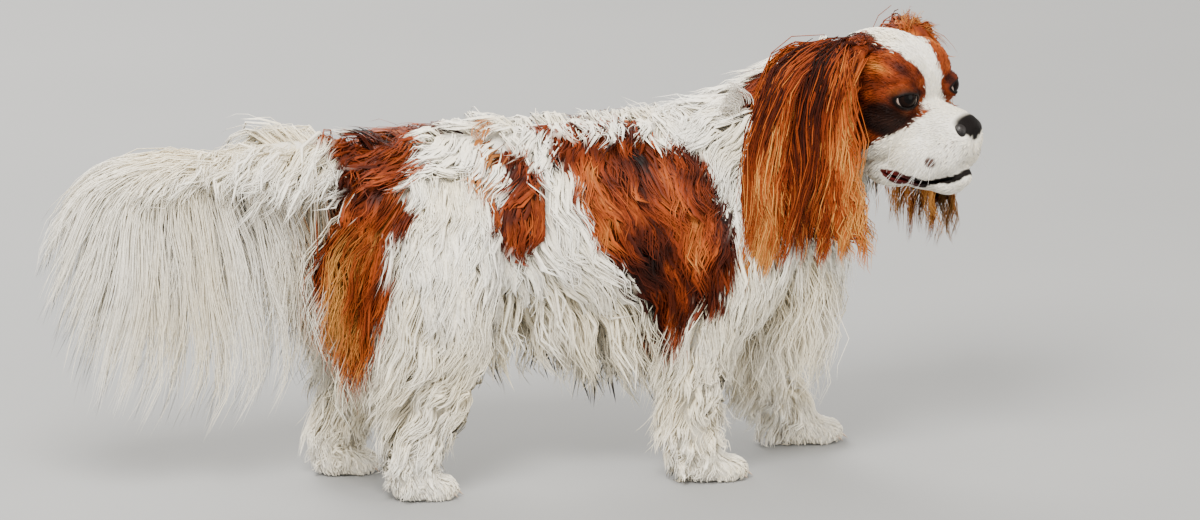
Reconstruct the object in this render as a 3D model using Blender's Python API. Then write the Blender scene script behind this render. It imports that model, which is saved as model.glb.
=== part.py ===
"""Cavalier king charles spaniel, standing, head turned to its right.

Metres, +Z up, +X towards the chest, +Y to the dog's left. The floor is z = 0.
Each core is a loft through a few named sections, or a few swollen balls melted
together by a voxel remesh, cut clear of the ones it meets by GAP. The long coat
is flat tapered locks, rooted in the cores, laid along the lie of the hair, bent
clear of the other nodes and fused to their own.
"""

import math

import bmesh
import bpy
import numpy as np
from mathutils import Matrix, Vector
from mathutils.bvhtree import BVHTree

GAP = 0.00036
ORIGIN_SHIFT = Vector((0.0865, 0.010, 0.0))

RED = (0.42, 0.13, 0.035)
WHITE = (0.86, 0.82, 0.74)
DARK = (0.03, 0.022, 0.02)

# Depth of the matted undercoat that each core carries over the skin.
BODY_COAT = 0.007
NECK_COAT = 0.010
LEG_COAT = 0.006
TAIL_COAT = 0.005

# The head's own frame: its origin is the middle of the brain case, x to the nose.
HEAD_CENTRE = Vector((0.2622, -0.038, 0.3487))
HEAD_TURN = math.radians(-52.0)
HEAD_NOD = math.radians(-1.0)
EYE_PLACE = Vector((0.0390, 0.0302, 0.0000))
EYE_RADIUS = 0.0112
EYE_OUT = math.radians(32.0)

# Sections: x, middle height, half width, half height above and below it.
TORSO = [
    (-0.226, 0.262, 0.020, 0.020, 0.022),
    (-0.214, 0.260, 0.040, 0.040, 0.042),
    (-0.180, 0.252, 0.054, 0.060, 0.060),
    (-0.130, 0.246, 0.057, 0.072, 0.068),
    (-0.070, 0.240, 0.061, 0.080, 0.074),
    (-0.010, 0.234, 0.067, 0.086, 0.084),
    (0.050, 0.230, 0.070, 0.089, 0.090),
    (0.100, 0.230, 0.066, 0.088, 0.092),
    (0.150, 0.232, 0.058, 0.078, 0.084),
    (0.190, 0.236, 0.044, 0.056, 0.062),
    (0.214, 0.238, 0.022, 0.028, 0.030),
]
# Sections along a path: x, y, z, half size across, half size fore and aft.
NECK = [
    (0.095, 0.000, 0.250, 0.046, 0.056),
    (0.140, 0.000, 0.272, 0.048, 0.058),
    (0.185, 0.002, 0.300, 0.043, 0.052),
    (0.218, 0.000, 0.326, 0.038, 0.046),
    (0.245, -0.016, 0.342, 0.030, 0.036),
]
TAIL = [
    (-0.190, 0.000, 0.284, 0.018, 0.018),
    (-0.240, 0.000, 0.304, 0.014, 0.014),
    (-0.285, 0.000, 0.309, 0.010, 0.011),
    (-0.335, -0.002, 0.303, 0.008, 0.009),
    (-0.385, -0.005, 0.302, 0.006, 0.007),
    (-0.425, -0.008, 0.288, 0.003, 0.003),
]
FORELEG = [
    (0.098, 0.040, 0.270, 0.012, 0.026),
    (0.118, 0.050, 0.232, 0.026, 0.044),
    (0.112, 0.056, 0.190, 0.028, 0.040),
    (0.090, 0.057, 0.156, 0.021, 0.029),
    (0.084, 0.054, 0.120, 0.018, 0.0230),
    (0.081, 0.051, 0.085, 0.0165, 0.0210),
    (0.0780, 0.050, 0.055, 0.0155, 0.0195),
    (0.080, 0.050, 0.030, 0.0145, 0.0175),
    (0.088, 0.050, 0.012, 0.0120, 0.0120),
]
HINDLEG = [
    (-0.148, 0.040, 0.288, 0.012, 0.034),
    (-0.156, 0.050, 0.244, 0.030, 0.052),
    (-0.152, 0.056, 0.198, 0.032, 0.044),
    (-0.150, 0.058, 0.162, 0.026, 0.037),
    (-0.153, 0.056, 0.124, 0.020, 0.035),
    (-0.156, 0.052, 0.092, 0.0165, 0.0285),
    (-0.168, 0.050, 0.066, 0.0150, 0.0210),
    (-0.1765, 0.050, 0.038, 0.0140, 0.0185),
    (-0.176, 0.050, 0.012, 0.0120, 0.0120),
]
# How far forward the left legs stand of the right ones, at the top and at the foot.
FORE_STRIDE = (0.010, 0.113)
HIND_STRIDE = (-0.004, -0.048)
ANKLE_HEIGHT = 0.030
FLOOR_GAP = 0.004

PAW_LENGTH, PAW_WIDTH, PAW_HEIGHT = 0.048, 0.038, 0.027
PAW_REACH = 0.010
TOE_SPREAD = (-0.0125, -0.0045, 0.0045, 0.0125)
TOE_REACH = (0.0130, 0.0195, 0.0195, 0.0130)
TOE_SIZE = (0.0130, 0.0058, 0.0105)

# The ear's leather, from inside the crown down, in the head's frame: x, y, z of its
# middle line, half width, half thickness, and how far it is cupped.
EAR = [
    (-0.006, 0.030, 0.034, 0.016, 0.0040, 0.000),
    (-0.014, 0.052, 0.038, 0.026, 0.0045, 0.004),
    (-0.020, 0.068, 0.028, 0.034, 0.0050, 0.008),
    (-0.022, 0.080, 0.000, 0.039, 0.0055, 0.009),
    (-0.022, 0.086, -0.045, 0.040, 0.0055, 0.008),
    (-0.020, 0.087, -0.085, 0.033, 0.0045, 0.005),
    (-0.020, 0.087, -0.102, 0.014, 0.0030, 0.000),
]
# How far each ear's rear edge swings out from the line of the head.
EAR_YAW = {-1: math.radians(44.0), 1: math.radians(22.0)}
# How far out each ear hangs, against the table's y.
EAR_OUT = {-1: 1.0, 1: 0.84}

# Locks, all in metres unless a share: half width, half thickness, and the sunk root.
LOCK_SINK = 0.006
FIRST_SEED = 11
LOCK_TAPER = (0.72, 1.0, 0.92, 0.62, 0.0)
LOCK_MARGIN = 0.0007
WAVE = 0.0035
# Locks laid along a core: length, half width, half thickness, height of the tip over
# the core, and how far they cling to the core (1) or hang free (0).
BARREL_LOCK = (0.100, 0.0180, 0.0050, 0.0095, 1.0)
BELLY_LOCK = (0.078, 0.0140, 0.0042, 0.0060, 0.25)
CHEST_LOCK = (0.090, 0.0150, 0.0045, 0.0080, 0.35)
NAPE_LOCK = (0.065, 0.0160, 0.0048, 0.0080, 1.0)
RUFF_LOCK = (0.085, 0.0160, 0.0048, 0.0080, 0.5)
FORE_FEATHER = (0.062, 0.0130, 0.0042, 0.0060, 0.35)
HIND_FEATHER = (0.090, 0.0130, 0.0042, 0.0060, 0.35)
SHOULDER_LOCK = (0.066, 0.0155, 0.0044, 0.0070, 0.8)
THIGH_LOCK = (0.080, 0.0155, 0.0044, 0.0070, 0.8)
DOCK_LOCK = (0.075, 0.0130, 0.0042, 0.0100, 0.6)
CHEEK_LOCK = (0.038, 0.0100, 0.0036, 0.0060, 0.5)
# Locks strung from a root to a tip: half width and half thickness.
PLUME_LOCK = (0.0180, 0.0050)
EAR_LOCK = (0.0145, 0.0044)
# The plume's layers: side, reach towards the tips, number of locks.
PLUME_LAYERS = ((-1, 1.0, 8), (1, 1.0, 8), (0, 0.90, 5), (-1, 0.62, 3), (1, 0.62, 3))
# The ear's tiers of feathering: share down the leather, tip height, half spread, number.
EAR_TIERS = ((0.88, -0.160, 0.057, 6), (0.60, -0.122, 0.055, 5), (0.34, -0.070, 0.048, 4))
# Where the plume's hairs end: share of the way along the tail, x, z.
PLUME_TIPS = [
    (0.08, -0.262, 0.110),
    (0.22, -0.300, 0.072),
    (0.38, -0.350, 0.060),
    (0.54, -0.410, 0.066),
    (0.70, -0.458, 0.088),
    (0.82, -0.488, 0.142),
    (0.92, -0.503, 0.200),
    (1.00, -0.502, 0.246),
]

# Balls that make the head's form: middle, then radii. y is mirrored where it isn't 0.
HEAD_BALLS = [
    ((-0.006, 0.000, 0.006), (0.055, 0.046, 0.040)),
    ((0.020, 0.016, 0.016), (0.027, 0.026, 0.026)),
    ((0.016, 0.026, -0.004), (0.030, 0.020, 0.026)),
    ((0.002, 0.028, -0.028), (0.038, 0.021, 0.034)),
    ((-0.014, 0.000, -0.040), (0.042, 0.034, 0.030)),
    ((0.062, 0.0130, -0.0468), (0.0275, 0.0140, 0.0235)),
    ((0.040, 0.0185, -0.054), (0.034, 0.0160, 0.0250)),
    ((0.040, 0.000, -0.074), (0.038, 0.0200, 0.0140)),
    ((0.063, 0.000, -0.076), (0.021, 0.0145, 0.0130)),
    ((0.0785, 0.000, -0.0705), (0.0115, 0.0115, 0.0100)),
    ((0.0150, 0.0150, -0.0690), (0.0280, 0.0180, 0.0180)),
]
# Muzzle sections: x, middle height, half width, half height.
MUZZLE = [
    (0.012, -0.032, 0.040, 0.038),
    (0.040, -0.034, 0.0285, 0.0300),
    (0.060, -0.036, 0.0245, 0.0270),
    (0.078, -0.036, 0.0220, 0.0240),
    (0.089, -0.035, 0.0180, 0.0200),
    (0.095, -0.035, 0.0110, 0.0120),
]
# The mouth's line, in the head's frame: x and z, from behind the corner to the front.
MOUTH = [
    (0.014, -0.0700),
    (0.022, -0.0738),
    (0.042, -0.0774),
    (0.064, -0.0758),
    (0.081, -0.0695),
    (0.090, -0.0616),
    (0.120, -0.0350),
]
MOUTH_OPEN = 0.0018
NOSE_PLACE, NOSE_SIZE = (0.0826, 0.000, -0.0268), (0.0138, 0.0156, 0.0128)
NOSTRIL_PLACE, NOSTRIL_SIZE = (0.0946, 0.0075, -0.0280), (0.0050, 0.0030, 0.0028)


def clear_scene():
    for obj in list(bpy.data.objects):
        bpy.data.objects.remove(obj, do_unlink=True)


def link(name, mesh):
    obj = bpy.data.objects.new(name, mesh)
    bpy.context.scene.collection.objects.link(obj)
    return obj


def through(rows, count):
    """Rows of numbers at even steps along a smooth curve through the given rows."""
    keys = np.array(rows, float)
    steps = np.maximum(np.linalg.norm(np.diff(keys[:, :3], axis=0), axis=1), 1e-6)
    at = np.concatenate([[0.0], np.cumsum(steps)])
    slopes = np.gradient(keys, at, axis=0)
    wanted = np.linspace(0.0, at[-1], count)
    index = np.clip(np.searchsorted(at, wanted, side="right") - 1, 0, len(at) - 2)
    width = at[index + 1] - at[index]
    t = ((wanted - at[index]) / width)[:, None]
    width = width[:, None]
    low, high = keys[index], keys[index + 1]
    return (
        (2 * t**3 - 3 * t**2 + 1) * low
        + (t**3 - 2 * t**2 + t) * width * slopes[index]
        + (-2 * t**3 + 3 * t**2) * high
        + (t**3 - t**2) * width * slopes[index + 1]
    )


def loft(name, rings):
    """A closed mesh through rings of points, capped at both ends."""
    bm = bmesh.new()
    loops = [[bm.verts.new(point) for point in ring] for ring in rings]
    sides = len(loops[0])
    for near, far in zip(loops, loops[1:]):
        for k in range(sides):
            bm.faces.new((near[k], near[(k + 1) % sides], far[(k + 1) % sides], far[k]))
    for ring in (loops[0], loops[-1]):
        middle = bm.verts.new(sum((v.co for v in ring), Vector()) / sides)
        for k in range(sides):
            bm.faces.new((ring[k], ring[(k + 1) % sides], middle))
    bmesh.ops.recalc_face_normals(bm, faces=bm.faces)
    mesh = bpy.data.meshes.new(name)
    bm.to_mesh(mesh)
    bm.free()
    return link(name, mesh)


def oval(centre, across, upward, half_across, half_up, half_down, sides):
    points = []
    for k in range(sides):
        angle = 2 * math.pi * (k + 0.5) / sides
        rise = math.sin(angle)
        points.append(
            centre
            + across * (half_across * math.cos(angle))
            + upward * ((half_up if rise > 0 else half_down) * rise)
        )
    return points


def trunk(name, rows, coat, count, sides):
    """A loft whose sections stand across x: x, middle height, half width, half heights."""
    spread = [(row[0], 0.0, row[1], *row[2:]) for row in rows]
    rings = [
        oval(Vector((x, 0, z)), Vector((0, 1, 0)), Vector((0, 0, 1)), w + coat, u + coat, d + coat, sides)
        for x, _, z, w, u, d in through(spread, count)
    ]
    return loft(name, rings)


def limb(name, rows, coat, count, sides, side_axis=Vector((0, 1, 0))):
    """A loft along a path: x, y, z, half size across, half size fore and aft."""
    rows = through(rows, count)
    centres = [Vector(row[:3]) for row in rows]
    rings = []
    for k, row in enumerate(rows):
        along = (centres[min(k + 1, count - 1)] - centres[max(k - 1, 0)]).normalized()
        fore = side_axis.cross(along).normalized()
        across = along.cross(fore).normalized()
        rings.append(oval(centres[k], across, fore, row[3] + coat, row[4] + coat, row[4] + coat, sides))
    return loft(name, rings)


def ball(name, centre, radii, segments=20, rings=12):
    bm = bmesh.new()
    bmesh.ops.create_uvsphere(bm, u_segments=segments, v_segments=rings, radius=1.0)
    bmesh.ops.scale(bm, vec=radii, verts=bm.verts)
    bmesh.ops.translate(bm, vec=centre, verts=bm.verts)
    mesh = bpy.data.meshes.new(name)
    bm.to_mesh(mesh)
    bm.free()
    return link(name, mesh)


def slab(name, outline, half_width):
    """A prism of an x and z outline, from -half_width to half_width in y."""
    bm = bmesh.new()
    face = bm.faces.new([bm.verts.new((x, -half_width, z)) for x, z in outline])
    grown = bmesh.ops.extrude_face_region(bm, geom=[face])["geom"]
    moved = [v for v in grown if isinstance(v, bmesh.types.BMVert)]
    bmesh.ops.translate(bm, vec=(0, 2 * half_width, 0), verts=moved)
    bmesh.ops.recalc_face_normals(bm, faces=bm.faces)
    mesh = bpy.data.meshes.new(name)
    bm.to_mesh(mesh)
    bm.free()
    return link(name, mesh)


def apply(obj):
    """Replaces the object's mesh by what its modifiers make of it."""
    graph = bpy.context.evaluated_depsgraph_get()
    graph.update()
    mesh = bpy.data.meshes.new_from_object(obj.evaluated_get(graph))
    obj.modifiers.clear()
    obj.data = mesh
    return obj


def drop(*objects):
    for obj in objects:
        bpy.data.objects.remove(obj, do_unlink=True)


def combine(obj, others, operation, solver="EXACT"):
    """One Boolean with all of the others, which are then removed."""
    holder = bpy.data.collections.new("operands")
    bpy.context.scene.collection.children.link(holder)
    for other in others:
        holder.objects.link(other)
    modifier = obj.modifiers.new("combine", "BOOLEAN")
    modifier.operand_type = "COLLECTION"
    modifier.collection = holder
    modifier.operation = operation
    modifier.solver = solver
    apply(obj)
    drop(*others)
    bpy.data.collections.remove(holder)
    return keep_largest(obj)


def keep_largest(obj):
    """Keeps the closed surface that holds the most, faces outward, and drops the rest."""
    bm = bmesh.new()
    bm.from_mesh(obj.data)
    seen, best, most = set(), [], -1.0
    for start in bm.faces:
        if start in seen:
            continue
        island, stack = [], [start]
        seen.add(start)
        while stack:
            face = stack.pop()
            island.append(face)
            for edge in face.edges:
                for near in edge.link_faces:
                    if near not in seen:
                        seen.add(near)
                        stack.append(near)
        held = 0.0
        for face in island:
            first = face.verts[0].co
            for a, b in zip(face.verts[1:], face.verts[2:]):
                held += first.dot(a.co.cross(b.co)) / 6
        if abs(held) > most:
            best, most = island, abs(held)
    kept = set(best)
    bmesh.ops.delete(bm, geom=[f for f in bm.faces if f not in kept], context="FACES")
    bmesh.ops.recalc_face_normals(bm, faces=bm.faces)
    bm.to_mesh(obj.data)
    bm.free()
    return obj


def melt(name, objects, voxel, rounds, triangles):
    """Fuses objects into one soft closed form of about so many triangles."""
    with bpy.context.temp_override(active_object=objects[0], selected_editable_objects=objects):
        bpy.ops.object.join()
    obj = objects[0]
    obj.name = name
    remesh = obj.modifiers.new("remesh", "REMESH")
    remesh.mode = "VOXEL"
    remesh.voxel_size = voxel
    smooth = obj.modifiers.new("smooth", "SMOOTH")
    smooth.factor = 0.5
    smooth.iterations = rounds
    apply(obj)
    thin = obj.modifiers.new("thin", "DECIMATE")
    thin.ratio = min(1.0, triangles / (2.0 * len(obj.data.polygons)))
    return apply(obj)


def copy_of(obj, name):
    copy = obj.copy()
    copy.data = obj.data.copy()
    copy.name = name
    bpy.context.scene.collection.objects.link(copy)
    return copy


def grown(obj, by=GAP):
    """A copy that stands out from the object by a gap on every side, to cut with."""
    copy = copy_of(obj, "cutter")
    swell = copy.modifiers.new("swell", "DISPLACE")
    swell.mid_level = 0.0
    swell.strength = by
    return apply(copy)


def cut_clear(obj, *neighbours):
    for other in neighbours:
        combine(obj, [grown(other)], "DIFFERENCE")
    return obj


def into_head_frame(obj):
    turn = Matrix.Rotation(HEAD_TURN, 4, "Z") @ Matrix.Rotation(-HEAD_NOD, 4, "Y")
    obj.data.transform(Matrix.Translation(HEAD_CENTRE) @ turn)
    return obj


def sides_of(place):
    """The place and, where it isn't on the middle plane, its mirror image."""
    x, y, z = place
    return [(x, y, z)] if y == 0 else [(x, y, z), (x, -y, z)]


def make_eye(name, side):
    return ball(name, EYE_PLACE * Vector((1, side, 1)), (EYE_RADIUS,) * 3, 14, 9)


def lid_opening(side):
    """The almond between the lids, as a long prism that leads out of the eye."""
    half_long, half_high, reach = 0.0100, 0.0062, 0.030
    turn = Matrix.Rotation(side * EYE_OUT, 4, "Z")
    place = Matrix.Translation(EYE_PLACE * Vector((1, side, 1)))
    rings = []
    for step in (0.0, reach):
        ring = []
        for k in range(14):
            angle = 2 * math.pi * k / 14
            rise = half_high * math.sin(angle) * abs(math.sin(angle)) ** 0.25
            ring.append(place @ turn @ Vector((step, half_long * math.cos(angle), rise)))
        rings.append(ring)
    return loft("opening", rings)


def make_head():
    """Skull and muzzle, the jaw below the mouth's line, the nose pad and the eyes.

    The form before its cuts comes last, to cut others clear with.
    """
    forms = [
        ball("ball", place, radii)
        for middle, radii in HEAD_BALLS
        for place in sides_of(middle)
    ]
    forms.append(trunk("muzzle", [(x, z, w, h, h) for x, z, w, h in MUZZLE], 0.0, 12, 20))
    forms += [ball("lid", EYE_PLACE * Vector((1, side, 1)), (EYE_RADIUS + 0.0020,) * 3) for side in (-1, 1)]
    head = melt("head", forms, 0.0022, 7, 1100)

    below = [(MOUTH[0][0], -0.15), (0.15, -0.15), (0.15, MOUTH[-1][1])] + MOUTH[::-1]
    whole = copy_of(head, "whole")
    jaw = copy_of(head, "jaw")
    combine(jaw, [slab("below", below, 0.1)], "INTERSECT")
    back = MOUTH[0][0] - GAP
    opened = [(back, -0.15), (0.15, -0.15), (0.15, MOUTH[-1][1] + MOUTH_OPEN)]
    opened += [(x, z + MOUTH_OPEN) for x, z in MOUTH[:0:-1]] + [(back, MOUTH[0][1] + MOUTH_OPEN)]
    combine(head, [slab("opened", opened, 0.1)], "DIFFERENCE")

    nose = ball("nose", NOSE_PLACE, NOSE_SIZE, 14, 9)
    holes = [ball("hole", place, NOSTRIL_SIZE, 8, 5) for place in sides_of(NOSTRIL_PLACE)]
    combine(nose, holes, "DIFFERENCE")
    eyes = [make_eye("eye_right", -1), make_eye("eye_left", 1)]
    combine(head, [lid_opening(-1), lid_opening(1)], "DIFFERENCE")
    cut_clear(head, nose, *eyes)
    for obj in (head, jaw, nose, *eyes, whole):
        into_head_frame(obj)
    return head, jaw, nose, eyes, whole


def ear_axes(side):
    """The ear's directions in the head's frame: towards its rear edge, and out of its face."""
    yaw = EAR_YAW[side]
    rearward = Vector((-math.cos(yaw), side * math.sin(yaw), 0.0))
    outward = Vector((math.sin(yaw), side * math.cos(yaw), 0.0))
    return rearward, outward


def make_ear(name, side):
    """The ear's leather: a flap that is cupped towards the head."""
    rearward, outward = ear_axes(side)
    rows = through(EAR, 12)
    centres = [Vector((x, side * y * EAR_OUT[side], z)) for x, y, z, *_ in rows]
    rings = []
    for k, (_, _, _, half_width, half_thick, cup) in enumerate(rows):
        down = (centres[min(k + 1, 11)] - centres[max(k - 1, 0)]).normalized()
        face = rearward.cross(down).normalized()
        face *= math.copysign(1.0, face.dot(outward + Vector((0, 0, 1))))
        ring = []
        for j in range(12):
            angle = 2 * math.pi * j / 12
            out = half_thick * math.sin(angle) + cup * math.sin(angle) ** 2
            ring.append(centres[k] + rearward * (half_width * math.cos(angle)) + face * out)
        rings.append(ring)
    return into_head_frame(loft(name, rings))


def leg_rows(rows, side, stride):
    """The leg's sections on one side. The left legs are carried forward by the stride."""
    top, foot = rows[0][2], rows[-1][2]
    moved = []
    for x, y, z, across, fore in rows:
        share = (top - z) / (top - foot)
        shift = stride[0] + (stride[1] - stride[0]) * share if side > 0 else 0.0
        moved.append((x + shift, side * y, z, across, fore))
    return moved


def make_leg(leg_name, paw_name, rows, side, stride):
    """One leg down to the ankle, and its paw below a level cut."""
    rows = leg_rows(rows, side, stride)
    leg = limb(leg_name, rows, LEG_COAT, 13, 12)
    foot_x, foot_y = rows[-1][0], rows[-1][1]
    middle = Vector((foot_x + PAW_REACH, foot_y, 0.0))
    pad_size = (PAW_LENGTH / 2, PAW_WIDTH / 2, PAW_HEIGHT * 0.6)
    forms = [ball("pad", middle + Vector((-0.006, 0, 0.010)), pad_size)]
    for reach, spread in zip(TOE_REACH, TOE_SPREAD):
        forms.append(ball("toe", middle + Vector((reach, spread, 0.0075)), TOE_SIZE))
    forms.append(ball("ankle", Vector((foot_x - 0.002, foot_y, ANKLE_HEIGHT)), (0.019, 0.018, 0.020)))
    paw = melt(paw_name, forms, 0.0024, 4, 220)
    big = 1.0
    floor = [(-big, -big), (big, -big), (big, 0.0), (-big, 0.0)]
    above = [(-big, ANKLE_HEIGHT), (big, ANKLE_HEIGHT), (big, big), (-big, big)]
    combine(paw, [slab("floor", floor, big), slab("above", above, big)], "DIFFERENCE")
    under = [(-big, -big), (big, -big), (big, ANKLE_HEIGHT + GAP), (-big, ANKLE_HEIGHT + GAP)]
    combine(leg, [slab("under", under, big)], "DIFFERENCE")
    return leg, paw


def surface_of(obj):
    return BVHTree.FromPolygons([v.co for v in obj.data.vertices], [p.vertices for p in obj.data.polygons])


def along(rows, share):
    """The point a share of the way along a table's path."""
    row = through(rows, 101)[round(100 * share)]
    return Vector(row[:3])


def strip(points, outs, half_width, half_thick, margin=0.0):
    """A flat lock's corners and faces: a tapered ridge along the points, pointed at its tip."""
    corners, faces = [], []
    last = len(points) - 1
    for k in range(last):
        heading = (points[k + 1] - points[max(k - 1, 0)]).normalized()
        across = heading.cross(outs[k]).normalized()
        out = across.cross(heading).normalized()
        wide = half_width * LOCK_TAPER[k] + margin
        thick = half_thick * (0.4 + 0.6 * LOCK_TAPER[k]) + margin
        low = points[k] - out * (0.5 * thick)
        corners += [low + across * wide, points[k] + out * thick, low - across * wide]
    for k in range(last - 1):
        for j in range(3):
            a, b = k * 3 + j, k * 3 + (j + 1) % 3
            faces += [(a, b, b + 3), (a, b + 3, a + 3)]
    tip = len(corners)
    corners.append(points[last])
    top = (last - 1) * 3
    faces += [(top + j, top + (j + 1) % 3, tip) for j in range(3)] + [(0, 2, 1)]
    return corners, faces


class Coat:
    """The locks of one node, each laid from its core and kept clear of the other nodes."""

    def __init__(self, core, seed):
        self.core = core
        self.surface = surface_of(core)
        self.trees = [self.surface]
        self.locks = []
        self.others = []
        self.random = np.random.default_rng(seed)

    def jitter(self, size):
        return float(self.random.uniform(-size, size))

    def root(self, inside, outward):
        """Where a ray from far outside meets the core on its way in."""
        spot, normal, _, _ = self.surface.ray_cast(inside + outward * 0.4, -outward)
        return (spot, normal) if spot else (None, None)

    def add(self, points, outs, half_width, half_thick):
        """Keeps the lock and says so, unless it meets another node or the floor."""
        corners, faces = strip(points, outs, half_width, half_thick, LOCK_MARGIN)
        if min(corner.z for corner in corners) < FLOOR_GAP:
            return False
        tree = BVHTree.FromPolygons(corners, faces)
        if any(tree.overlap(other) for coat in self.others for other in coat.trees):
            return False
        corners, faces = strip(points, outs, half_width, half_thick)
        self.trees.append(BVHTree.FromPolygons(corners, faces))
        self.locks.append((corners, faces))
        return True

    def lay(self, inside, outward, start, hang, lock, longer=1.0):
        """A lock that lies along the core from where the ray meets it, and hangs past its edge."""
        length, half_width, half_thick, rise, cling = lock
        place, normal = self.root(inside, outward)
        if place is None:
            return
        phase = self.jitter(math.pi)
        length *= longer * (1 + self.jitter(0.1))
        for lift in (1.0, 1.7, 2.6, 3.6):
            for share in (1.0, 0.8, 0.62):
                line = self.trace(place, normal, start, hang, length * share, rise * lift, cling, phase)
                if self.add(*line, half_width, half_thick):
                    return

    def trace(self, place, normal, start, hang, length, rise, cling, phase):
        """The lock's middle line and outward directions, from the root inside the core."""
        steps = len(LOCK_TAPER) - 1
        step = length / (steps - 0.5)
        heading = (start - normal * start.dot(normal)).normalized()
        points, outs = [place - normal * LOCK_SINK - heading * step * 0.5], [normal]
        for k in range(1, steps + 1):
            share = k / steps
            wanted = start.lerp(hang, share).normalized()
            flat = (wanted - normal * wanted.dot(normal)).normalized()
            heading = wanted.lerp(flat, cling * (1 - share) if cling < 1 else 1.0).normalized()
            place = place + heading * (step if k > 1 else step * 0.5)
            near, normal, _, _ = self.surface.find_nearest(place)
            height = (place - near).dot(normal)
            level = rise * share**0.8
            if cling >= 1 or height < level:
                place = near + normal * level
            across = heading.cross(normal).normalized()
            points.append(place + across * (WAVE * math.sin(phase + 2.0 * k)))
            outs.append(normal)
        return points, outs

    def hang(self, root, tip, start, end, outward, half_width, half_thick):
        """A free lock from a root inside the core to its tip, bent outward where it must be."""
        steps = len(LOCK_TAPER) - 1
        reach = (tip - root).length
        across = start.cross(outward).normalized()
        phase = self.jitter(math.pi)
        for bend in (0.0, 0.008, 0.016, 0.026, 0.038):
            for share in (1.0, 0.85, 0.7):
                points = []
                for k in range(steps + 1):
                    t = share * k / steps
                    spot = (
                        (2 * t**3 - 3 * t**2 + 1) * root
                        + (t**3 - 2 * t**2 + t) * reach * start
                        + (-2 * t**3 + 3 * t**2) * tip
                        + (t**3 - t**2) * reach * end
                    )
                    sway = WAVE * math.sin(phase + 2.0 * k) * min(k, 1)
                    bow = bend * math.sin(math.pi * min(t + 0.15, 0.75))
                    points.append(spot + outward * bow + across * sway)
                if self.add(points, [outward] * (steps + 1), half_width, half_thick):
                    return

    def fuse(self):
        """Joins the locks to the core in one union."""
        pieces = []
        for corners, faces in self.locks:
            mesh = bpy.data.meshes.new("lock")
            mesh.from_pydata([tuple(corner) for corner in corners], [], faces)
            piece = link("lock", mesh)
            bm = bmesh.new()
            bm.from_mesh(mesh)
            bmesh.ops.recalc_face_normals(bm, faces=bm.faces)
            bm.to_mesh(mesh)
            bm.free()
            pieces.append(piece)
        if pieces:
            combine(self.core, pieces, "UNION", "MANIFOLD")


DOWN = Vector((0.0, 0.0, -1.0))
BACK = Vector((-1.0, 0.0, 0.0))


def dress_torso(coat):
    """Wavy coat that runs back and down over the barrel, a fringe under it, a full chest."""
    for row, x in enumerate(np.arange(-0.200, 0.170, 0.060)):
        middle = Vector((x, 0.0, 0.238))
        for turn in range(8):
            angle = math.radians(14 + 38 * (turn % 4) + 12 * (row % 2)) * (1 if turn < 4 else -1)
            outward = Vector((0.0, math.sin(angle), math.cos(angle)))
            fall = abs(math.sin(angle / 1.6)) * 1.6
            start = (BACK + DOWN * fall + Vector((coat.jitter(0.3), 0, coat.jitter(0.3)))).normalized()
            coat.lay(middle, outward, start, start, BARREL_LOCK)
    for row, x in enumerate(np.arange(-0.125, 0.110, 0.036)):
        for spread in (-0.044, -0.016, 0.016, 0.044):
            if (row % 2) == (spread in (-0.044, 0.016)):
                continue
            start = Vector((-0.7, 3 * spread, -0.7)).normalized()
            hang = Vector((-0.25, 2 * spread, -1.0)).normalized()
            coat.lay(Vector((x, spread, 0.20)), DOWN, start, hang, BELLY_LOCK)
    for height, longer in ((0.268, 1.1), (0.236, 1.0), (0.206, 0.85)):
        for spread in (-0.9, -0.3, 0.3, 0.9):
            outward = Vector((1.0, spread, 0.0)).normalized()
            start = Vector((0.35, 0.3 * spread, -1.0)).normalized()
            coat.lay(Vector((0.165, 0.0, height)), outward, start, DOWN, CHEST_LOCK, longer)


def dress_neck(coat):
    """A short mane down the nape, and a ruff round the throat."""
    around = 7
    for share, offset in ((0.34, 0.0), (0.56, 0.5), (0.78, 0.0)):
        middle = along(NECK, share)
        for turn in range(around):
            angle = 2 * math.pi * (turn + offset) / around
            outward = Vector((0.75 * math.cos(angle), math.sin(angle), -0.66 * math.cos(angle))).normalized()
            if math.cos(angle) > 0.3:
                coat.lay(middle, outward, DOWN, (DOWN - 0.2 * BACK).normalized(), RUFF_LOCK)
            else:
                start, hang = (DOWN + 1.1 * BACK).normalized(), (DOWN + 0.7 * BACK).normalized()
                coat.lay(middle, outward, start, hang, NAPE_LOCK)


def dress_ear(coat, side):
    """Tiers of long feathering over the leather's face, and its tips below."""
    rearward, outward = ear_axes(side)
    turn = Matrix.Rotation(HEAD_TURN, 4, "Z") @ Matrix.Rotation(-HEAD_NOD, 4, "Y")
    place = Matrix.Translation(HEAD_CENTRE) @ turn
    facing = turn.to_3x3() @ outward
    rows = through(EAR, 101)
    for tier, (share, tip_height, spread, count) in enumerate(EAR_TIERS):
        x, y, z, half_width, _, cup = rows[round(100 * share)]
        low = EAR_OUT[side] * EAR[-1][1]
        for k in range(count):
            u = -0.88 + 1.76 * k / (count - 1)
            root = Vector((x, side * y * EAR_OUT[side], z))
            root += rearward * (half_width * u) + outward * (cup * (1 - u * u))
            tip = Vector((x, side * (low + 0.003 * tier), tip_height + 0.014 * abs(u) + coat.jitter(0.008)))
            tip += rearward * (spread * u) + outward * (0.004 + 0.003 * tier)
            start = (DOWN + outward * 0.35 + rearward * (8.0 * spread * u)).normalized()
            coat.hang(place @ root, place @ tip, turn.to_3x3() @ start, DOWN, facing, *EAR_LOCK)


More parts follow.
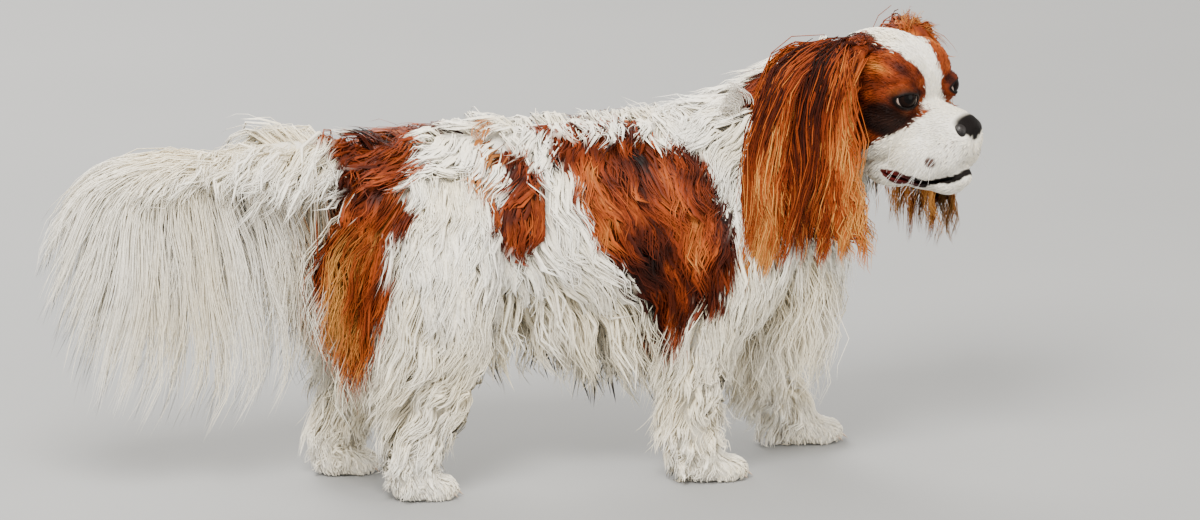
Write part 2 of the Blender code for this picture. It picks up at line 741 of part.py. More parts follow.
def dress_leg(coat, rows, fore):
    """Feathering behind the limb, and wavy coat down its outer face."""
    side = 1 if rows[0][1] > 0 else -1
    if fore:
        feather, behind = FORE_FEATHER, (0.30, 0.46, 0.62, 0.78)
        lock, outer = SHOULDER_LOCK, (0.10, 0.30, 0.52)
    else:
        feather, behind = HIND_FEATHER, (0.20, 0.34, 0.48, 0.62, 0.78)
        lock, outer = THIGH_LOCK, (0.06, 0.22, 0.40)
    for share in behind:
        middle = along(rows, share)
        for swing in (-0.45, 0.55):
            outward = Vector((-1.0, side * swing, 0.0)).normalized()
            start = Vector((-0.8, side * swing, -0.9)).normalized()
            hang = Vector((-0.25, side * 0.1, -1.0)).normalized()
            coat.lay(middle, outward, start, hang, feather, 1.08 - 0.7 * abs(share - 0.4))
    for share in outer:
        for forward in (-0.6, 0.05, 0.7):
            outward = Vector((forward, side, 0.1)).normalized()
            start = Vector((-0.30, 0.0, -1.0)).normalized()
            coat.lay(along(rows, share), outward, start, DOWN, lock, 1.0 - 0.2 * share)


def dress_tail(coat):
    """The plume: long hair that sweeps back from the tail and hangs, in layers."""
    shares, tips_x, tips_z = np.array(PLUME_TIPS).T
    for layer, reach, count in PLUME_LAYERS:
        for k in range(count):
            share = min(1.0, (k + 0.25 * (layer + 1)) / (count - 0.4))
            root = along(TAIL, 0.10 + 0.86 * share) + Vector((0, 0.003 * layer, -0.003))
            end = Vector((np.interp(share, shares, tips_x), 0.0, np.interp(share, shares, tips_z)))
            tip = root.lerp(end, reach * (1 + coat.jitter(0.06))) + Vector((0, 0.013 * layer, 0))
            start = Vector((-0.9, 0.14 * layer, -0.55 + 0.60 * share)).normalized()
            final = Vector((-0.35, 0.0, -1.0)).normalized()
            coat.hang(root, tip, start, final, Vector((0.0, layer if layer else 1, 0.0)), *PLUME_LOCK)
    for share in (0.04, 0.22, 0.40, 0.58, 0.78):
        for lean in (-0.5, 0.5):
            outward = Vector((0.0, lean, 1.0)).normalized()
            start = Vector((-1.0, lean, -0.1)).normalized()
            hang = Vector((-1.0, 0.5 * lean, -0.6)).normalized()
            coat.lay(along(TAIL, share), outward, start, hang, DOCK_LOCK)


def dress_head(coat):
    """Small tufts behind the cheeks, where the face's short coat meets the ears."""
    turn = Matrix.Rotation(HEAD_TURN, 3, "Z")
    for side in (-1, 1):
        for height in (-0.020, -0.044):
            middle = HEAD_CENTRE + turn @ Vector((-0.006, 0.0, height))
            outward = (turn @ Vector((-0.15, side, -0.2))).normalized()
            start = (turn @ Vector((-0.9, 0.0, -0.7))).normalized()
            coat.lay(middle, outward, start, DOWN, CHEEK_LOCK)


def finish(obj, colour, roughness):
    material = bpy.data.materials.new(obj.name)
    material.use_nodes = True
    shader = material.node_tree.nodes["Principled BSDF"]
    shader.inputs["Base Color"].default_value = (*colour, 1.0)
    shader.inputs["Roughness"].default_value = roughness
    obj.data.materials.clear()
    obj.data.materials.append(material)
    obj.data.transform(Matrix.Translation(ORIGIN_SHIFT))
    obj.data.shade_smooth()


def main():
    clear_scene()
    torso = trunk("torso", TORSO, BODY_COAT, 15, 18)
    head, jaw, nose, eyes, head_form = make_head()
    neck = limb("neck", NECK, NECK_COAT, 8, 16)
    neck_form = copy_of(neck, "neck_form")
    ears = [make_ear("ear_right", -1), make_ear("ear_left", 1)]
    legs, paws, leg_tables = [], [], []
    for leg_name, rows, stride in (("foreleg", FORELEG, FORE_STRIDE), ("hindleg", HINDLEG, HIND_STRIDE)):
        for side_name, side in (("right", -1), ("left", 1)):
            paw_name = f"paw_{leg_name[:4]}_{side_name}"
            leg, paw = make_leg(f"{leg_name}_{side_name}", paw_name, rows, side, stride)
            legs.append(leg)
            paws.append(paw)
            leg_tables.append(leg_rows(rows, side, stride))
    tail = limb("tail", TAIL, TAIL_COAT, 12, 10)
    cut_clear(neck, torso, head_form)
    for ear in ears:
        cut_clear(ear, head_form, torso, neck_form)
    for leg in legs:
        cut_clear(leg, torso, neck_form)
    cut_clear(tail, torso)
    drop(head_form, neck_form)

    coats = [Coat(obj, seed) for seed, obj in enumerate((*ears, head, tail, *legs, neck, torso), FIRST_SEED)]
    plain = [Coat(obj, 0) for obj in (jaw, nose, *eyes, *paws)]
    for coat in coats:
        coat.others = [other for other in coats + plain if other is not coat]
    ear_coats, (head_coat, tail_coat), leg_coats = coats[:2], coats[2:4], coats[4:8]
    dress_torso(coats[9])
    dress_neck(coats[8])
    for coat, rows in zip(leg_coats, leg_tables):
        dress_leg(coat, rows, fore=coat in leg_coats[:2])
    dress_tail(tail_coat)
    for coat, side in zip(ear_coats, (-1, 1)):
        dress_ear(coat, side)
    dress_head(head_coat)
    for coat in coats:
        coat.fuse()

    for obj in (torso, neck, tail, *legs, *paws):
        finish(obj, WHITE, 0.8)
    for obj in (head, jaw):
        finish(obj, WHITE, 0.75)
    for obj in ears:
        finish(obj, RED, 0.7)
    for obj in (nose, *eyes):
        finish(obj, DARK, 0.3)


main()
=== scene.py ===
"""Cavalier king charles spaniel: one skin, its coat, eyes, nose, whiskers and claws.

Metres, +Z up, +X towards the chest, +Y to the dog's left. Tables are in the animal's
own frame; ORIGIN_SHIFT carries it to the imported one. The head has a frame of its own:
its origin is the middle of the brain case, +x runs to the nose and +y to its left.
"""

import math

import bmesh
import bpy
import numpy as np
from mathutils import Matrix, Vector
from mathutils.bvhtree import BVHTree

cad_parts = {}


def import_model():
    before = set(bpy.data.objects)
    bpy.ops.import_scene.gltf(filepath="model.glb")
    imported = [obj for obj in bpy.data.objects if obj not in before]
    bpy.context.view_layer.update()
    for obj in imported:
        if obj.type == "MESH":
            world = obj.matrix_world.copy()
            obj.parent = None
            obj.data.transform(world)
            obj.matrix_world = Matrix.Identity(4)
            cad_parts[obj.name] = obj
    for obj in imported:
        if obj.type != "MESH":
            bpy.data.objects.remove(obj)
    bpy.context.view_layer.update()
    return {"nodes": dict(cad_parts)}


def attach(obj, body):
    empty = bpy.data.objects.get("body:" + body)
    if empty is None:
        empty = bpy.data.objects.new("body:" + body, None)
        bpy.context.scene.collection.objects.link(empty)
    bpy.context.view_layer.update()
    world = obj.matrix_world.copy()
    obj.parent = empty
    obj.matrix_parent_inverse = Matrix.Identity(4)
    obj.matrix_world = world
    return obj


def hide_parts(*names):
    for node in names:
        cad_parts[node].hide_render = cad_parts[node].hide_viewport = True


ORIGIN_SHIFT = Vector((0.0865, 0.010, 0.0))

# Skin: the flesh's own sections, as in the solids, without the coat's depth.
HEAD_CENTRE = Vector((0.2622, -0.038, 0.3487))
HEAD_TURN = math.radians(-52.0)
HEAD_NOD = math.radians(-1.0)
EYE_PLACE = Vector((0.0390, 0.0302, 0.0000))
EYE_RADIUS = 0.0112
EYE_OUT = math.radians(32.0)
GAZE_OUT, GAZE_UP = math.radians(32.0), 0.18
LID_HALF_LONG, LID_UP, LID_DOWN = 0.0106, 0.0054, 0.0064

# Sections: x, middle height, half width, half height above and below it.
TORSO = [
    (-0.226, 0.262, 0.020, 0.020, 0.022),
    (-0.214, 0.260, 0.040, 0.040, 0.042),
    (-0.180, 0.252, 0.054, 0.060, 0.060),
    (-0.130, 0.246, 0.057, 0.072, 0.068),
    (-0.070, 0.240, 0.061, 0.080, 0.074),
    (-0.010, 0.234, 0.067, 0.086, 0.084),
    (0.050, 0.230, 0.070, 0.089, 0.090),
    (0.100, 0.230, 0.066, 0.088, 0.092),
    (0.150, 0.232, 0.058, 0.078, 0.084),
    (0.190, 0.236, 0.044, 0.056, 0.062),
    (0.214, 0.238, 0.022, 0.028, 0.030),
]
# Sections along a path: x, y, z, half size across, half size fore and aft.
NECK = [
    (0.095, 0.000, 0.250, 0.046, 0.056),
    (0.140, 0.000, 0.272, 0.048, 0.058),
    (0.185, 0.002, 0.300, 0.043, 0.052),
    (0.218, 0.000, 0.326, 0.038, 0.046),
    (0.245, -0.016, 0.342, 0.030, 0.036),
]
TAIL = [
    (-0.190, 0.000, 0.284, 0.018, 0.018),
    (-0.240, 0.000, 0.304, 0.014, 0.014),
    (-0.285, 0.000, 0.309, 0.010, 0.011),
    (-0.335, -0.002, 0.303, 0.008, 0.009),
    (-0.385, -0.005, 0.302, 0.006, 0.007),
    (-0.425, -0.008, 0.288, 0.003, 0.003),
]
FORELEG = [
    (0.098, 0.040, 0.270, 0.012, 0.026),
    (0.118, 0.050, 0.232, 0.026, 0.044),
    (0.112, 0.056, 0.190, 0.028, 0.040),
    (0.090, 0.057, 0.156, 0.021, 0.029),
    (0.084, 0.054, 0.120, 0.018, 0.0230),
    (0.081, 0.051, 0.085, 0.0165, 0.0210),
    (0.0780, 0.050, 0.055, 0.0155, 0.0195),
    (0.080, 0.050, 0.030, 0.0145, 0.0175),
    (0.088, 0.050, 0.012, 0.0120, 0.0120),
]
HINDLEG = [
    (-0.148, 0.040, 0.288, 0.012, 0.034),
    (-0.156, 0.050, 0.244, 0.030, 0.052),
    (-0.152, 0.056, 0.198, 0.032, 0.044),
    (-0.150, 0.058, 0.162, 0.026, 0.037),
    (-0.153, 0.056, 0.124, 0.020, 0.035),
    (-0.156, 0.052, 0.092, 0.0165, 0.0285),
    (-0.168, 0.050, 0.066, 0.0150, 0.0210),
    (-0.1765, 0.050, 0.038, 0.0140, 0.0185),
    (-0.176, 0.050, 0.012, 0.0120, 0.0120),
]
# How far forward the left legs stand of the right ones, at the top and at the foot.
FORE_STRIDE = (0.010, 0.113)
HIND_STRIDE = (-0.004, -0.048)
ANKLE_HEIGHT = 0.030

PAW_LENGTH, PAW_WIDTH, PAW_HEIGHT = 0.048, 0.038, 0.027
PAW_REACH = 0.010
TOE_SPREAD = (-0.0125, -0.0045, 0.0045, 0.0125)
TOE_REACH = (0.0130, 0.0195, 0.0195, 0.0130)
TOE_SIZE = (0.0130, 0.0058, 0.0105)

# The ear's leather in the head's frame: x, y, z, half width, half thickness, cup.
EAR = [
    (-0.006, 0.030, 0.034, 0.016, 0.0040, 0.000),
    (-0.014, 0.052, 0.038, 0.026, 0.0045, 0.004),
    (-0.020, 0.068, 0.028, 0.034, 0.0050, 0.008),
    (-0.022, 0.080, 0.000, 0.039, 0.0055, 0.009),
    (-0.022, 0.086, -0.045, 0.040, 0.0055, 0.008),
    (-0.020, 0.087, -0.085, 0.033, 0.0045, 0.005),
    (-0.020, 0.087, -0.102, 0.014, 0.0030, 0.000),
]
EAR_YAW = {-1: math.radians(44.0), 1: math.radians(22.0)}
EAR_OUT = {-1: 1.0, 1: 0.84}

# The skull, cheeks and jaw in the head's frame: middles and radii.
HEAD_BALLS = [
    ((-0.006, 0.000, 0.006), (0.055, 0.046, 0.040)),
    ((0.020, 0.016, 0.016), (0.027, 0.026, 0.026)),
    ((0.016, 0.026, -0.004), (0.030, 0.020, 0.026)),
    ((0.002, 0.028, -0.028), (0.038, 0.021, 0.034)),
    ((-0.014, 0.000, -0.040), (0.042, 0.034, 0.030)),
    ((0.062, 0.0130, -0.0468), (0.0275, 0.0140, 0.0235)),
    ((0.040, 0.0185, -0.054), (0.034, 0.0160, 0.0250)),
    ((0.040, 0.000, -0.074), (0.038, 0.0200, 0.0140)),
    ((0.063, 0.000, -0.076), (0.021, 0.0145, 0.0130)),
    ((0.0785, 0.000, -0.0705), (0.0115, 0.0115, 0.0100)),
    ((0.0150, 0.0150, -0.0690), (0.0280, 0.0180, 0.0180)),
]
# The muzzle in the head's frame: x, middle height, half width and half height.
MUZZLE = [
    (0.012, -0.032, 0.040, 0.038),
    (0.040, -0.034, 0.0285, 0.0300),
    (0.060, -0.036, 0.0245, 0.0270),
    (0.078, -0.036, 0.0220, 0.0240),
    (0.089, -0.035, 0.0180, 0.0200),
    (0.095, -0.035, 0.0110, 0.0120),
]
# The line between the lips, x and z.
MOUTH = [
    (0.014, -0.0700),
    (0.022, -0.0738),
    (0.042, -0.0774),
    (0.064, -0.0758),
    (0.081, -0.0695),
    (0.090, -0.0616),
    (0.110, -0.0440),
]
# How far the lips stand apart at each point of the mouth.
MOUTH_OPEN = (0.0, 0.0035, 0.0045, 0.0030, 0.0018, 0.0012, 0.0010)
NOSE_PLACE, NOSE_SIZE = Vector((0.0818, 0.000, -0.0270)), (0.0146, 0.0168, 0.0136)

# Folds and hollows pressed into the head's skin, on both sides: the points of a line,
# then its depth and half width. A depth below zero raises a ridge.
FOLDS = [
    ([(0.052, 0.000, 0.010), (0.054, 0.000, -0.004)], 0.0030, 0.007),
    ([(0.050, 0.022, -0.010), (0.060, 0.021, -0.022), (0.066, 0.022, -0.034)], 0.0012, 0.004),
    ([(0.030, 0.038, 0.011), (0.042, 0.031, 0.012), (0.050, 0.020, 0.008)], 0.0010, 0.0022),
    ([(0.026, 0.040, 0.016), (0.041, 0.031, 0.017), (0.050, 0.016, 0.014)], -0.0012, 0.004),
    ([(0.024, 0.042, -0.010), (0.040, 0.036, -0.014), (0.052, 0.026, -0.012)], 0.0010, 0.0020),
    ([(0.012, 0.044, -0.052), (0.018, 0.040, -0.070), (0.020, 0.030, -0.082)], 0.0020, 0.004),
    ([(0.000, 0.000, 0.050), (0.030, 0.000, 0.044), (0.050, 0.000, 0.022)], 0.0014, 0.006),
    ([(0.096, 0.000, -0.036), (0.096, 0.000, -0.050), (0.090, 0.000, -0.064)], 0.0020, 0.0016),
]

# Voxels: the body's and the head's. The head's own faces are then thinned.
BODY_VOXEL, HEAD_VOXEL, HEAD_KEEP = 0.0034, 0.00095, 0.45

# Markings. A patch is a smooth closed curve through points in x and z, on one side.
SADDLE = [
    (-0.060, 0.335), (-0.040, 0.285), (-0.025, 0.250), (0.005, 0.200), (0.040, 0.150),
    (0.045, 0.115), (0.060, 0.120), (0.065, 0.150), (0.100, 0.160), (0.110, 0.235),
    (0.085, 0.295), (0.045, 0.310), (0.030, 0.320), (-0.035, 0.320),
]
LOIN = [
    (-0.095, 0.305), (-0.075, 0.305), (-0.060, 0.275), (-0.060, 0.240), (-0.070, 0.215),
    (-0.095, 0.220), (-0.110, 0.250), (-0.100, 0.280),
]
RUMP = [
    (-0.255, 0.335), (-0.220, 0.340), (-0.175, 0.330), (-0.170, 0.310), (-0.190, 0.285),
    (-0.185, 0.260), (-0.205, 0.230), (-0.205, 0.185), (-0.220, 0.110), (-0.230, 0.095),
    (-0.255, 0.150), (-0.265, 0.210), (-0.240, 0.250), (-0.235, 0.275), (-0.240, 0.300),
]
NAPE = [
    (0.113, 0.350), (0.121, 0.372), (0.150, 0.395), (0.180, 0.385), (0.172, 0.352),
    (0.146, 0.334), (0.124, 0.334),
]
FAR_SADDLE = [
    (-0.030, 0.318), (-0.034, 0.300), (-0.022, 0.262), (0.010, 0.222), (0.050, 0.204),
    (0.090, 0.216), (0.118, 0.250), (0.112, 0.288), (0.074, 0.308), (0.044, 0.318),
]
FAR_RUMP = [
    (-0.192, 0.350), (-0.236, 0.310), (-0.240, 0.268), (-0.204, 0.238), (-0.162, 0.226),
    (-0.124, 0.240), (-0.116, 0.280), (-0.136, 0.308), (-0.144, 0.350),
]
# The side that each patch is on, and its outline.
PATCHES = ((-1, SADDLE), (-1, LOIN), (-1, RUMP), (-1, NAPE), (1, FAR_SADDLE), (1, FAR_RUMP))
# Small soft spots on the near side: x, z, radii, and how much chestnut.
SPOTS = [
    (-0.117, 0.283, 0.012, 0.011, 0.70),
    (-0.105, 0.306, 0.011, 0.013, 0.62),
    (-0.107, 0.324, 0.013, 0.013, 0.55),
    (-0.142, 0.337, 0.008, 0.007, 0.50),
]
# The blaze: degrees round the brow in the head's xz plane, then its half width on the
# near and on the far side.
BLAZE = [
    (130.0, 0.004, 0.008),
    (115.0, 0.010, 0.012),
    (90.0, 0.020, 0.018),
    (60.0, 0.027, 0.015),
    (42.0, 0.025, 0.011),
    (20.0, 0.012, 0.012),
    (0.0, 0.008, 0.016),
    (-13.0, 0.014, 0.021),
    (-24.0, 0.024, 0.026),
]
# Below this line on the cheek, x and z, the head is white.
CHEEK_LINE = [
    (-0.030, -0.060), (0.005, -0.051), (0.018, -0.043), (0.040, -0.028), (0.050, -0.018),
    (0.060, -0.005),
]

WHITE = np.array((0.94, 0.90, 0.81))
CREAM = np.array((0.86, 0.77, 0.57))
# Reds of the coat by tone, from -2, nearly black, to 2, golden.
TONE_STEPS = (-2.0, -1.0, 0.0, 1.0, 2.0)
REDS = np.array((
    (0.005, 0.0018, 0.0010),
    (0.055, 0.008, 0.0025),
    (0.200, 0.030, 0.005),
    (0.370, 0.080, 0.012),
    (0.600, 0.270, 0.065),
))
# Where the near side's red is darker or lighter: x, z, radii, and the step of tone.
TONES = [
    (0.034, 0.196, 0.016, 0.030, -1.3),
    (0.099, 0.238, 0.008, 0.036, -1.1),
    (0.027, 0.290, 0.008, 0.030, -0.9),
    (0.023, 0.150, 0.014, 0.018, -0.9),
    (-0.018, 0.282, 0.022, 0.028, 0.9),
    (-0.012, 0.235, 0.014, 0.022, 0.7),
    (0.060, 0.249, 0.014, 0.026, 1.1),
    (0.074, 0.214, 0.012, 0.024, 1.2),
    (0.064, 0.166, 0.020, 0.018, 0.5),
    (-0.213, 0.272, 0.012, 0.012, -1.3),
    (-0.243, 0.288, 0.010, 0.016, -1.4),
    (-0.200, 0.326, 0.020, 0.014, -0.9),
    (-0.235, 0.225, 0.026, 0.030, 0.8),
    (-0.245, 0.160, 0.030, 0.040, 1.9),
    (-0.100, 0.246, 0.018, 0.014, -1.2),
    (-0.097, 0.284, 0.018, 0.010, -1.0),
    (0.092, 0.180, 0.010, 0.022, -0.7),
    (0.045, 0.165, 0.024, 0.030, -0.8),
]
LIP = np.array((0.006, 0.004, 0.0035))
GUM = np.array((0.085, 0.008, 0.007))
RIM = np.array((0.004, 0.0025, 0.0022))
GINGER = np.array((0.36, 0.13, 0.035))
FRECKLE = np.array((0.06, 0.02, 0.015))
PATCH_EDGE = 0.0015
# In the head's frame: the dark patch behind the near eye, part dark fur and part painted shade, in x and
# z, and the freckle.
FUR_AND_SHADE_PLACE, FUR_AND_SHADE_SIZE = (0.0240, -0.0185), (0.022, 0.0165)
FRECKLE_PLACE = (0.066, -0.027, -0.055)
GREY_GOLD, GREY_CREAM = np.array((0.34, 0.25, 0.13)), np.array((0.80, 0.76, 0.69))
FLECK = np.array((0.16, 0.13, 0.12))
# What the shade between the roots takes from white hair, by red, green and blue.
ROOT_SHADE = np.array((0.06, 0.10, 0.20))

# The lie of the coat on the sides of the trunk: x, z, then the way it runs in x and z.
LIE = [
    (-0.215, 0.300, -0.80, -0.80),
    (-0.210, 0.240, -0.35, -1.00),
    (-0.160, 0.315, -1.00, -0.35),
    (-0.160, 0.250, -0.50, -1.00),
    (-0.110, 0.315, -0.70, -0.60),
    (-0.105, 0.260, -0.10, -1.00),
    (-0.110, 0.190, -0.10, -1.00),
    (-0.050, 0.320, -0.30, -0.80),
    (-0.050, 0.270, 0.30, -1.00),
    (-0.050, 0.200, 0.60, -0.80),
    (0.000, 0.320, 0.00, -0.80),
    (0.010, 0.270, 0.40, -1.00),
    (0.020, 0.190, 0.60, -0.90),
    (0.060, 0.320, -0.30, -0.80),
    (0.070, 0.260, 0.20, -1.00),
    (0.080, 0.190, 0.25, -1.00),
    (0.120, 0.300, -0.70, -0.90),
    (0.140, 0.240, -0.20, -1.00),
    (0.190, 0.230, 0.15, -1.00),
]
# The lie of the face's short coat, in the head's frame: x, z, then its run in x, y and z.
FACE_LIE = [
    (0.090, -0.020, -0.90, 0.25, 0.25),
    (0.090, -0.045, -0.35, 0.55, -0.80),
    (0.070, -0.030, -0.80, 0.45, -0.35),
    (0.065, -0.060, -0.45, 0.20, -0.90),
    (0.050, 0.000, -0.50, 0.40, 0.90),
    (0.040, 0.030, -0.80, 0.30, 0.60),
    (0.030, -0.035, -0.90, 0.20, -0.50),
    (0.000, 0.045, -1.00, 0.20, 0.00),
    (0.000, 0.000, -0.90, 0.20, -0.50),
    (0.010, -0.060, -0.70, 0.10, -0.80),
    (-0.040, 0.020, -0.80, 0.10, -0.70),
    (0.060, -0.085, -0.80, 0.10, -0.50),
]
# Where the plume's hairs end: share of the way along the tail, x, z.
PLUME_TIPS = [
    (0.08, -0.262, 0.110),
    (0.22, -0.300, 0.072),
    (0.38, -0.350, 0.060),
    (0.54, -0.410, 0.066),
    (0.70, -0.458, 0.088),
    (0.82, -0.488, 0.142),
    (0.92, -0.503, 0.200),
    (1.00, -0.502, 0.246),
]

MOST_TRIANGLES = 190_000
# Locks, tufts, hairs and tufts of undercoat over each part.
COUNTS = {
    "torso": (620, 3600, 11000, 3400),
    "neck": (260, 1500, 6200, 1800),
    "foreleg": (220, 1000, 3900, 700),
    "hindleg": (260, 1300, 4700, 1000),
    "ear_base": (120, 500, 1000, 300),
    "dock": (170, 800, 2100, 500),
}
# Hairs of the coats that hang from guides or are grown one by one.
HAIRS = {"fringe": 1400, "crest": 320, "nape": 170, "plume": 3300, "paw": 1400, "head": 15000}
EAR_HAIRS = {-1: 3300, 1: 2100}
# Half widths of the hairs.
WIDTHS = {
    "torso": 0.00052, "neck": 0.00052, "foreleg": 0.00048, "hindleg": 0.00049, "paw": 0.00046,
    "ear_base": 0.00050, "ear": 0.00050, "dock": 0.00050, "plume": 0.00048, "fringe": 0.00050,
    "crest": 0.00032, "nape": 0.00042, "whisker": 0.00014,
}
# The undercoat: broader tufts that lie below the hairs.
UNDER_WIDTH, UNDER_SINK = 0.0020, 0.0035
EAR_LOCKS, PLUME_LOCKS = 8, 16
GUIDE_STEPS = 12
ROOT_SINK = 0.0012
# The share of hairs that stand out from the coat, and how far they do at the most.
LOOSE_SHARE, STRAY = 0.06, 0.012
# The least height over the floor: of the skin, and of a hair.
SKIN_HEIGHT, HAIR_HEIGHT = 0.0006, 0.0008
# How far a hair is shaded as the coat around it, and not as a thread of its own: where
# it lies on the body, and where it hangs free.
SOFT, SOFT_FREE = 0.68, 0.12
PATCH = 0.003
TAPER_AT = (0.0, 0.12, 0.45, 0.75, 0.92, 1.0)
TAPER = (0.65, 1.0, 0.95, 0.70, 0.38, 0.0)

DOWN = np.array((0.0, 0.0, -1.0))


# Small helpers for arrays of points


def unit(v):
    return v / np.maximum(np.linalg.norm(v, axis=-1, keepdims=True), 1e-9)


def dot(a, b):
    return (a * b).sum(-1, keepdims=True)


def smooth(low, high, value):
    t = np.clip((value - low) / (high - low), 0.0, 1.0)
    return t * t * (3 - 2 * t)


def height_on(line, x):
    """The height at each x of a line given by rows of x and z."""
    return np.interp(x, *np.array(line).T)


def ripple(points, size, seed):
    """A smooth noise from about -1 to 1 whose bumps are about so many metres across."""
    draw = np.random.default_rng(seed)
    total = np.zeros(points.shape[:-1])
    for _ in range(7):
        wave = unit(draw.normal(size=3)) * (draw.uniform(0.6, 1.6) * math.pi / size)
        total += np.sin(points @ wave + draw.uniform(0, 2 * math.pi))
    return total / 2.6


def ways(x, y, z):
    """Rows of x, y and z, where a single number stands for all rows."""
    return np.stack(np.broadcast_arrays(x, y, z), 1)


def mix(a, b, share):
    return a + (b - a) * share[..., None]


def set_in_head(obj):
    """Carries a piece built in the head's frame to its place."""
    obj.data.transform(HEAD_MATRIX)
    obj.data.transform(Matrix.Translation(ORIGIN_SHIFT))
    obj.data.shade_smooth()


def to_head(points):
    return (points - np.array(HEAD_CENTRE)) @ HEAD_AXES


def from_head(points):
    return points @ HEAD_AXES.T + np.array(HEAD_CENTRE)


HEAD_MATRIX = (
    Matrix.Translation(HEAD_CENTRE)
    @ Matrix.Rotation(HEAD_TURN, 4, "Z")
    @ Matrix.Rotation(-HEAD_NOD, 4, "Y")
)
HEAD_AXES = np.array(HEAD_MATRIX.to_3x3())


# Forms


def link(name, mesh):
    obj = bpy.data.objects.new(name, mesh)
    bpy.context.scene.collection.objects.link(obj)
    return obj


def built(name, bm):
    mesh = bpy.data.meshes.new(name)
    bm.to_mesh(mesh)
    bm.free()
    return link(name, mesh)


def curve_at(t, low, high, reach, start, end):
    """Points a share t along smooth curves from low to high; start and end are their pulls."""
    return (
        (2 * t**3 - 3 * t**2 + 1) * low
        + (t**3 - 2 * t**2 + t) * reach * start
        + (-2 * t**3 + 3 * t**2) * high
        + (t**3 - t**2) * reach * end
    )


def through(rows, count):
    """Rows of numbers at even steps along a smooth curve through the given rows."""
    keys = np.array(rows, float)
    steps = np.maximum(np.linalg.norm(np.diff(keys[:, :3], axis=0), axis=1), 1e-6)
    at = np.concatenate([[0.0], np.cumsum(steps)])
    slopes = np.gradient(keys, at, axis=0)
    wanted = np.linspace(0.0, at[-1], count)
    index = np.clip(np.searchsorted(at, wanted, side="right") - 1, 0, len(at) - 2)
    width = at[index + 1] - at[index]
    t = ((wanted - at[index]) / width)[:, None]
    low, high = keys[index], keys[index + 1]
    return curve_at(t, low, high, width[:, None], slopes[index], slopes[index + 1])


def loft(name, rings):
    """A closed mesh through rings of points, capped at both ends."""
    bm = bmesh.new()
    loops = [[bm.verts.new(point) for point in ring] for ring in rings]
    sides = len(loops[0])
    for near, far in zip(loops, loops[1:]):
        for k in range(sides):
            bm.faces.new((near[k], near[(k + 1) % sides], far[(k + 1) % sides], far[k]))
    for ring in (loops[0], loops[-1]):
        middle = bm.verts.new(sum((v.co for v in ring), Vector()) / sides)
        for k in range(sides):
            bm.faces.new((ring[k], ring[(k + 1) % sides], middle))
    bmesh.ops.recalc_face_normals(bm, faces=bm.faces)
    return built(name, bm)


def oval(centre, across, upward, half_across, half_up, half_down, sides):
    points = []
    for k in range(sides):
        angle = 2 * math.pi * (k + 0.5) / sides
        rise = math.sin(angle)
        tall = half_up if rise > 0 else half_down
        points.append(centre + across * (half_across * math.cos(angle)) + upward * (tall * rise))
    return points


def trunk(name, rows, count=40, sides=40):
    """A loft whose sections stand across x: x, middle height, half width, half heights."""
    spread = [(row[0], 0.0, row[1], *row[2:]) for row in rows]
    side, up = Vector((0, 1, 0)), Vector((0, 0, 1))
    rings = []
    for x, _, z, half_width, above, below in through(spread, count):
        rings.append(oval(Vector((x, 0, z)), side, up, half_width, above, below, sides))
    return loft(name, rings)


def limb(name, rows, count=36, sides=24):
    """A loft along a path: x, y, z, half size across, half size fore and aft."""
    rows = through(rows, count)
    centres = [Vector(row[:3]) for row in rows]
    rings = []
    for k, row in enumerate(rows):
        along = (centres[min(k + 1, count - 1)] - centres[max(k - 1, 0)]).normalized()
        fore = Vector((0, 1, 0)).cross(along).normalized()
        across = along.cross(fore).normalized()
        rings.append(oval(centres[k], across, fore, row[3], row[4], row[4], sides))
    return loft(name, rings)


def ball(name, centre, radii, segments=32, rings=18):
    bm = bmesh.new()
    bmesh.ops.create_uvsphere(bm, u_segments=segments, v_segments=rings, radius=1.0)
    bmesh.ops.scale(bm, vec=radii, verts=bm.verts)
    bmesh.ops.translate(bm, vec=centre, verts=bm.verts)
    return built(name, bm)


def slab(name, outline, half_width):
    """A prism of an x and z outline, from -half_width to half_width in y."""
    bm = bmesh.new()
    face = bm.faces.new([bm.verts.new((x, -half_width, z)) for x, z in outline])
    grown = bmesh.ops.extrude_face_region(bm, geom=[face])["geom"]
    moved = [v for v in grown if isinstance(v, bmesh.types.BMVert)]
    bmesh.ops.translate(bm, vec=(0, 2 * half_width, 0), verts=moved)
    bmesh.ops.recalc_face_normals(bm, faces=bm.faces)
    return built(name, bm)


def apply(obj):
    graph = bpy.context.evaluated_depsgraph_get()
    graph.update()
    mesh = bpy.data.meshes.new_from_object(obj.evaluated_get(graph))
    obj.modifiers.clear()
    obj.data = mesh
    return obj


def drop(*objects):
    for obj in objects:
        bpy.data.objects.remove(obj, do_unlink=True)


def combine(obj, other, operation):
    modifier = obj.modifiers.new("combine", "BOOLEAN")
    modifier.object = other
    modifier.operation = operation
    modifier.solver = "MANIFOLD"
    apply(obj)
    drop(other)
    return obj


def melt(name, objects, voxel, rounds):
    """Fuses objects into one soft closed form."""
    with bpy.context.temp_override(active_object=objects[0], selected_editable_objects=objects):
        bpy.ops.object.join()
    obj = objects[0]
    obj.name = name
    remesh = obj.modifiers.new("remesh", "REMESH")
    remesh.mode = "VOXEL"
    remesh.voxel_size = voxel
    soft = obj.modifiers.new("soft", "SMOOTH")
    soft.factor = 0.5
    soft.iterations = rounds
    return apply(obj)


def corners_of(mesh):
    flat = np.zeros(len(mesh.vertices) * 3)
    mesh.vertices.foreach_get("co", flat)
    return flat.reshape(-1, 3)


def give(mesh, name, kind, field, values):
    """A named attribute of the mesh's corners."""
    mesh.attributes.new(name, kind, "POINT").data.foreach_set(field, values.ravel())


def triangles_of(mesh):
    mesh.calc_loop_triangles()
    flat = np.zeros(len(mesh.loop_triangles) * 3, int)
    mesh.loop_triangles.foreach_get("vertices", flat)
    return flat.reshape(-1, 3)


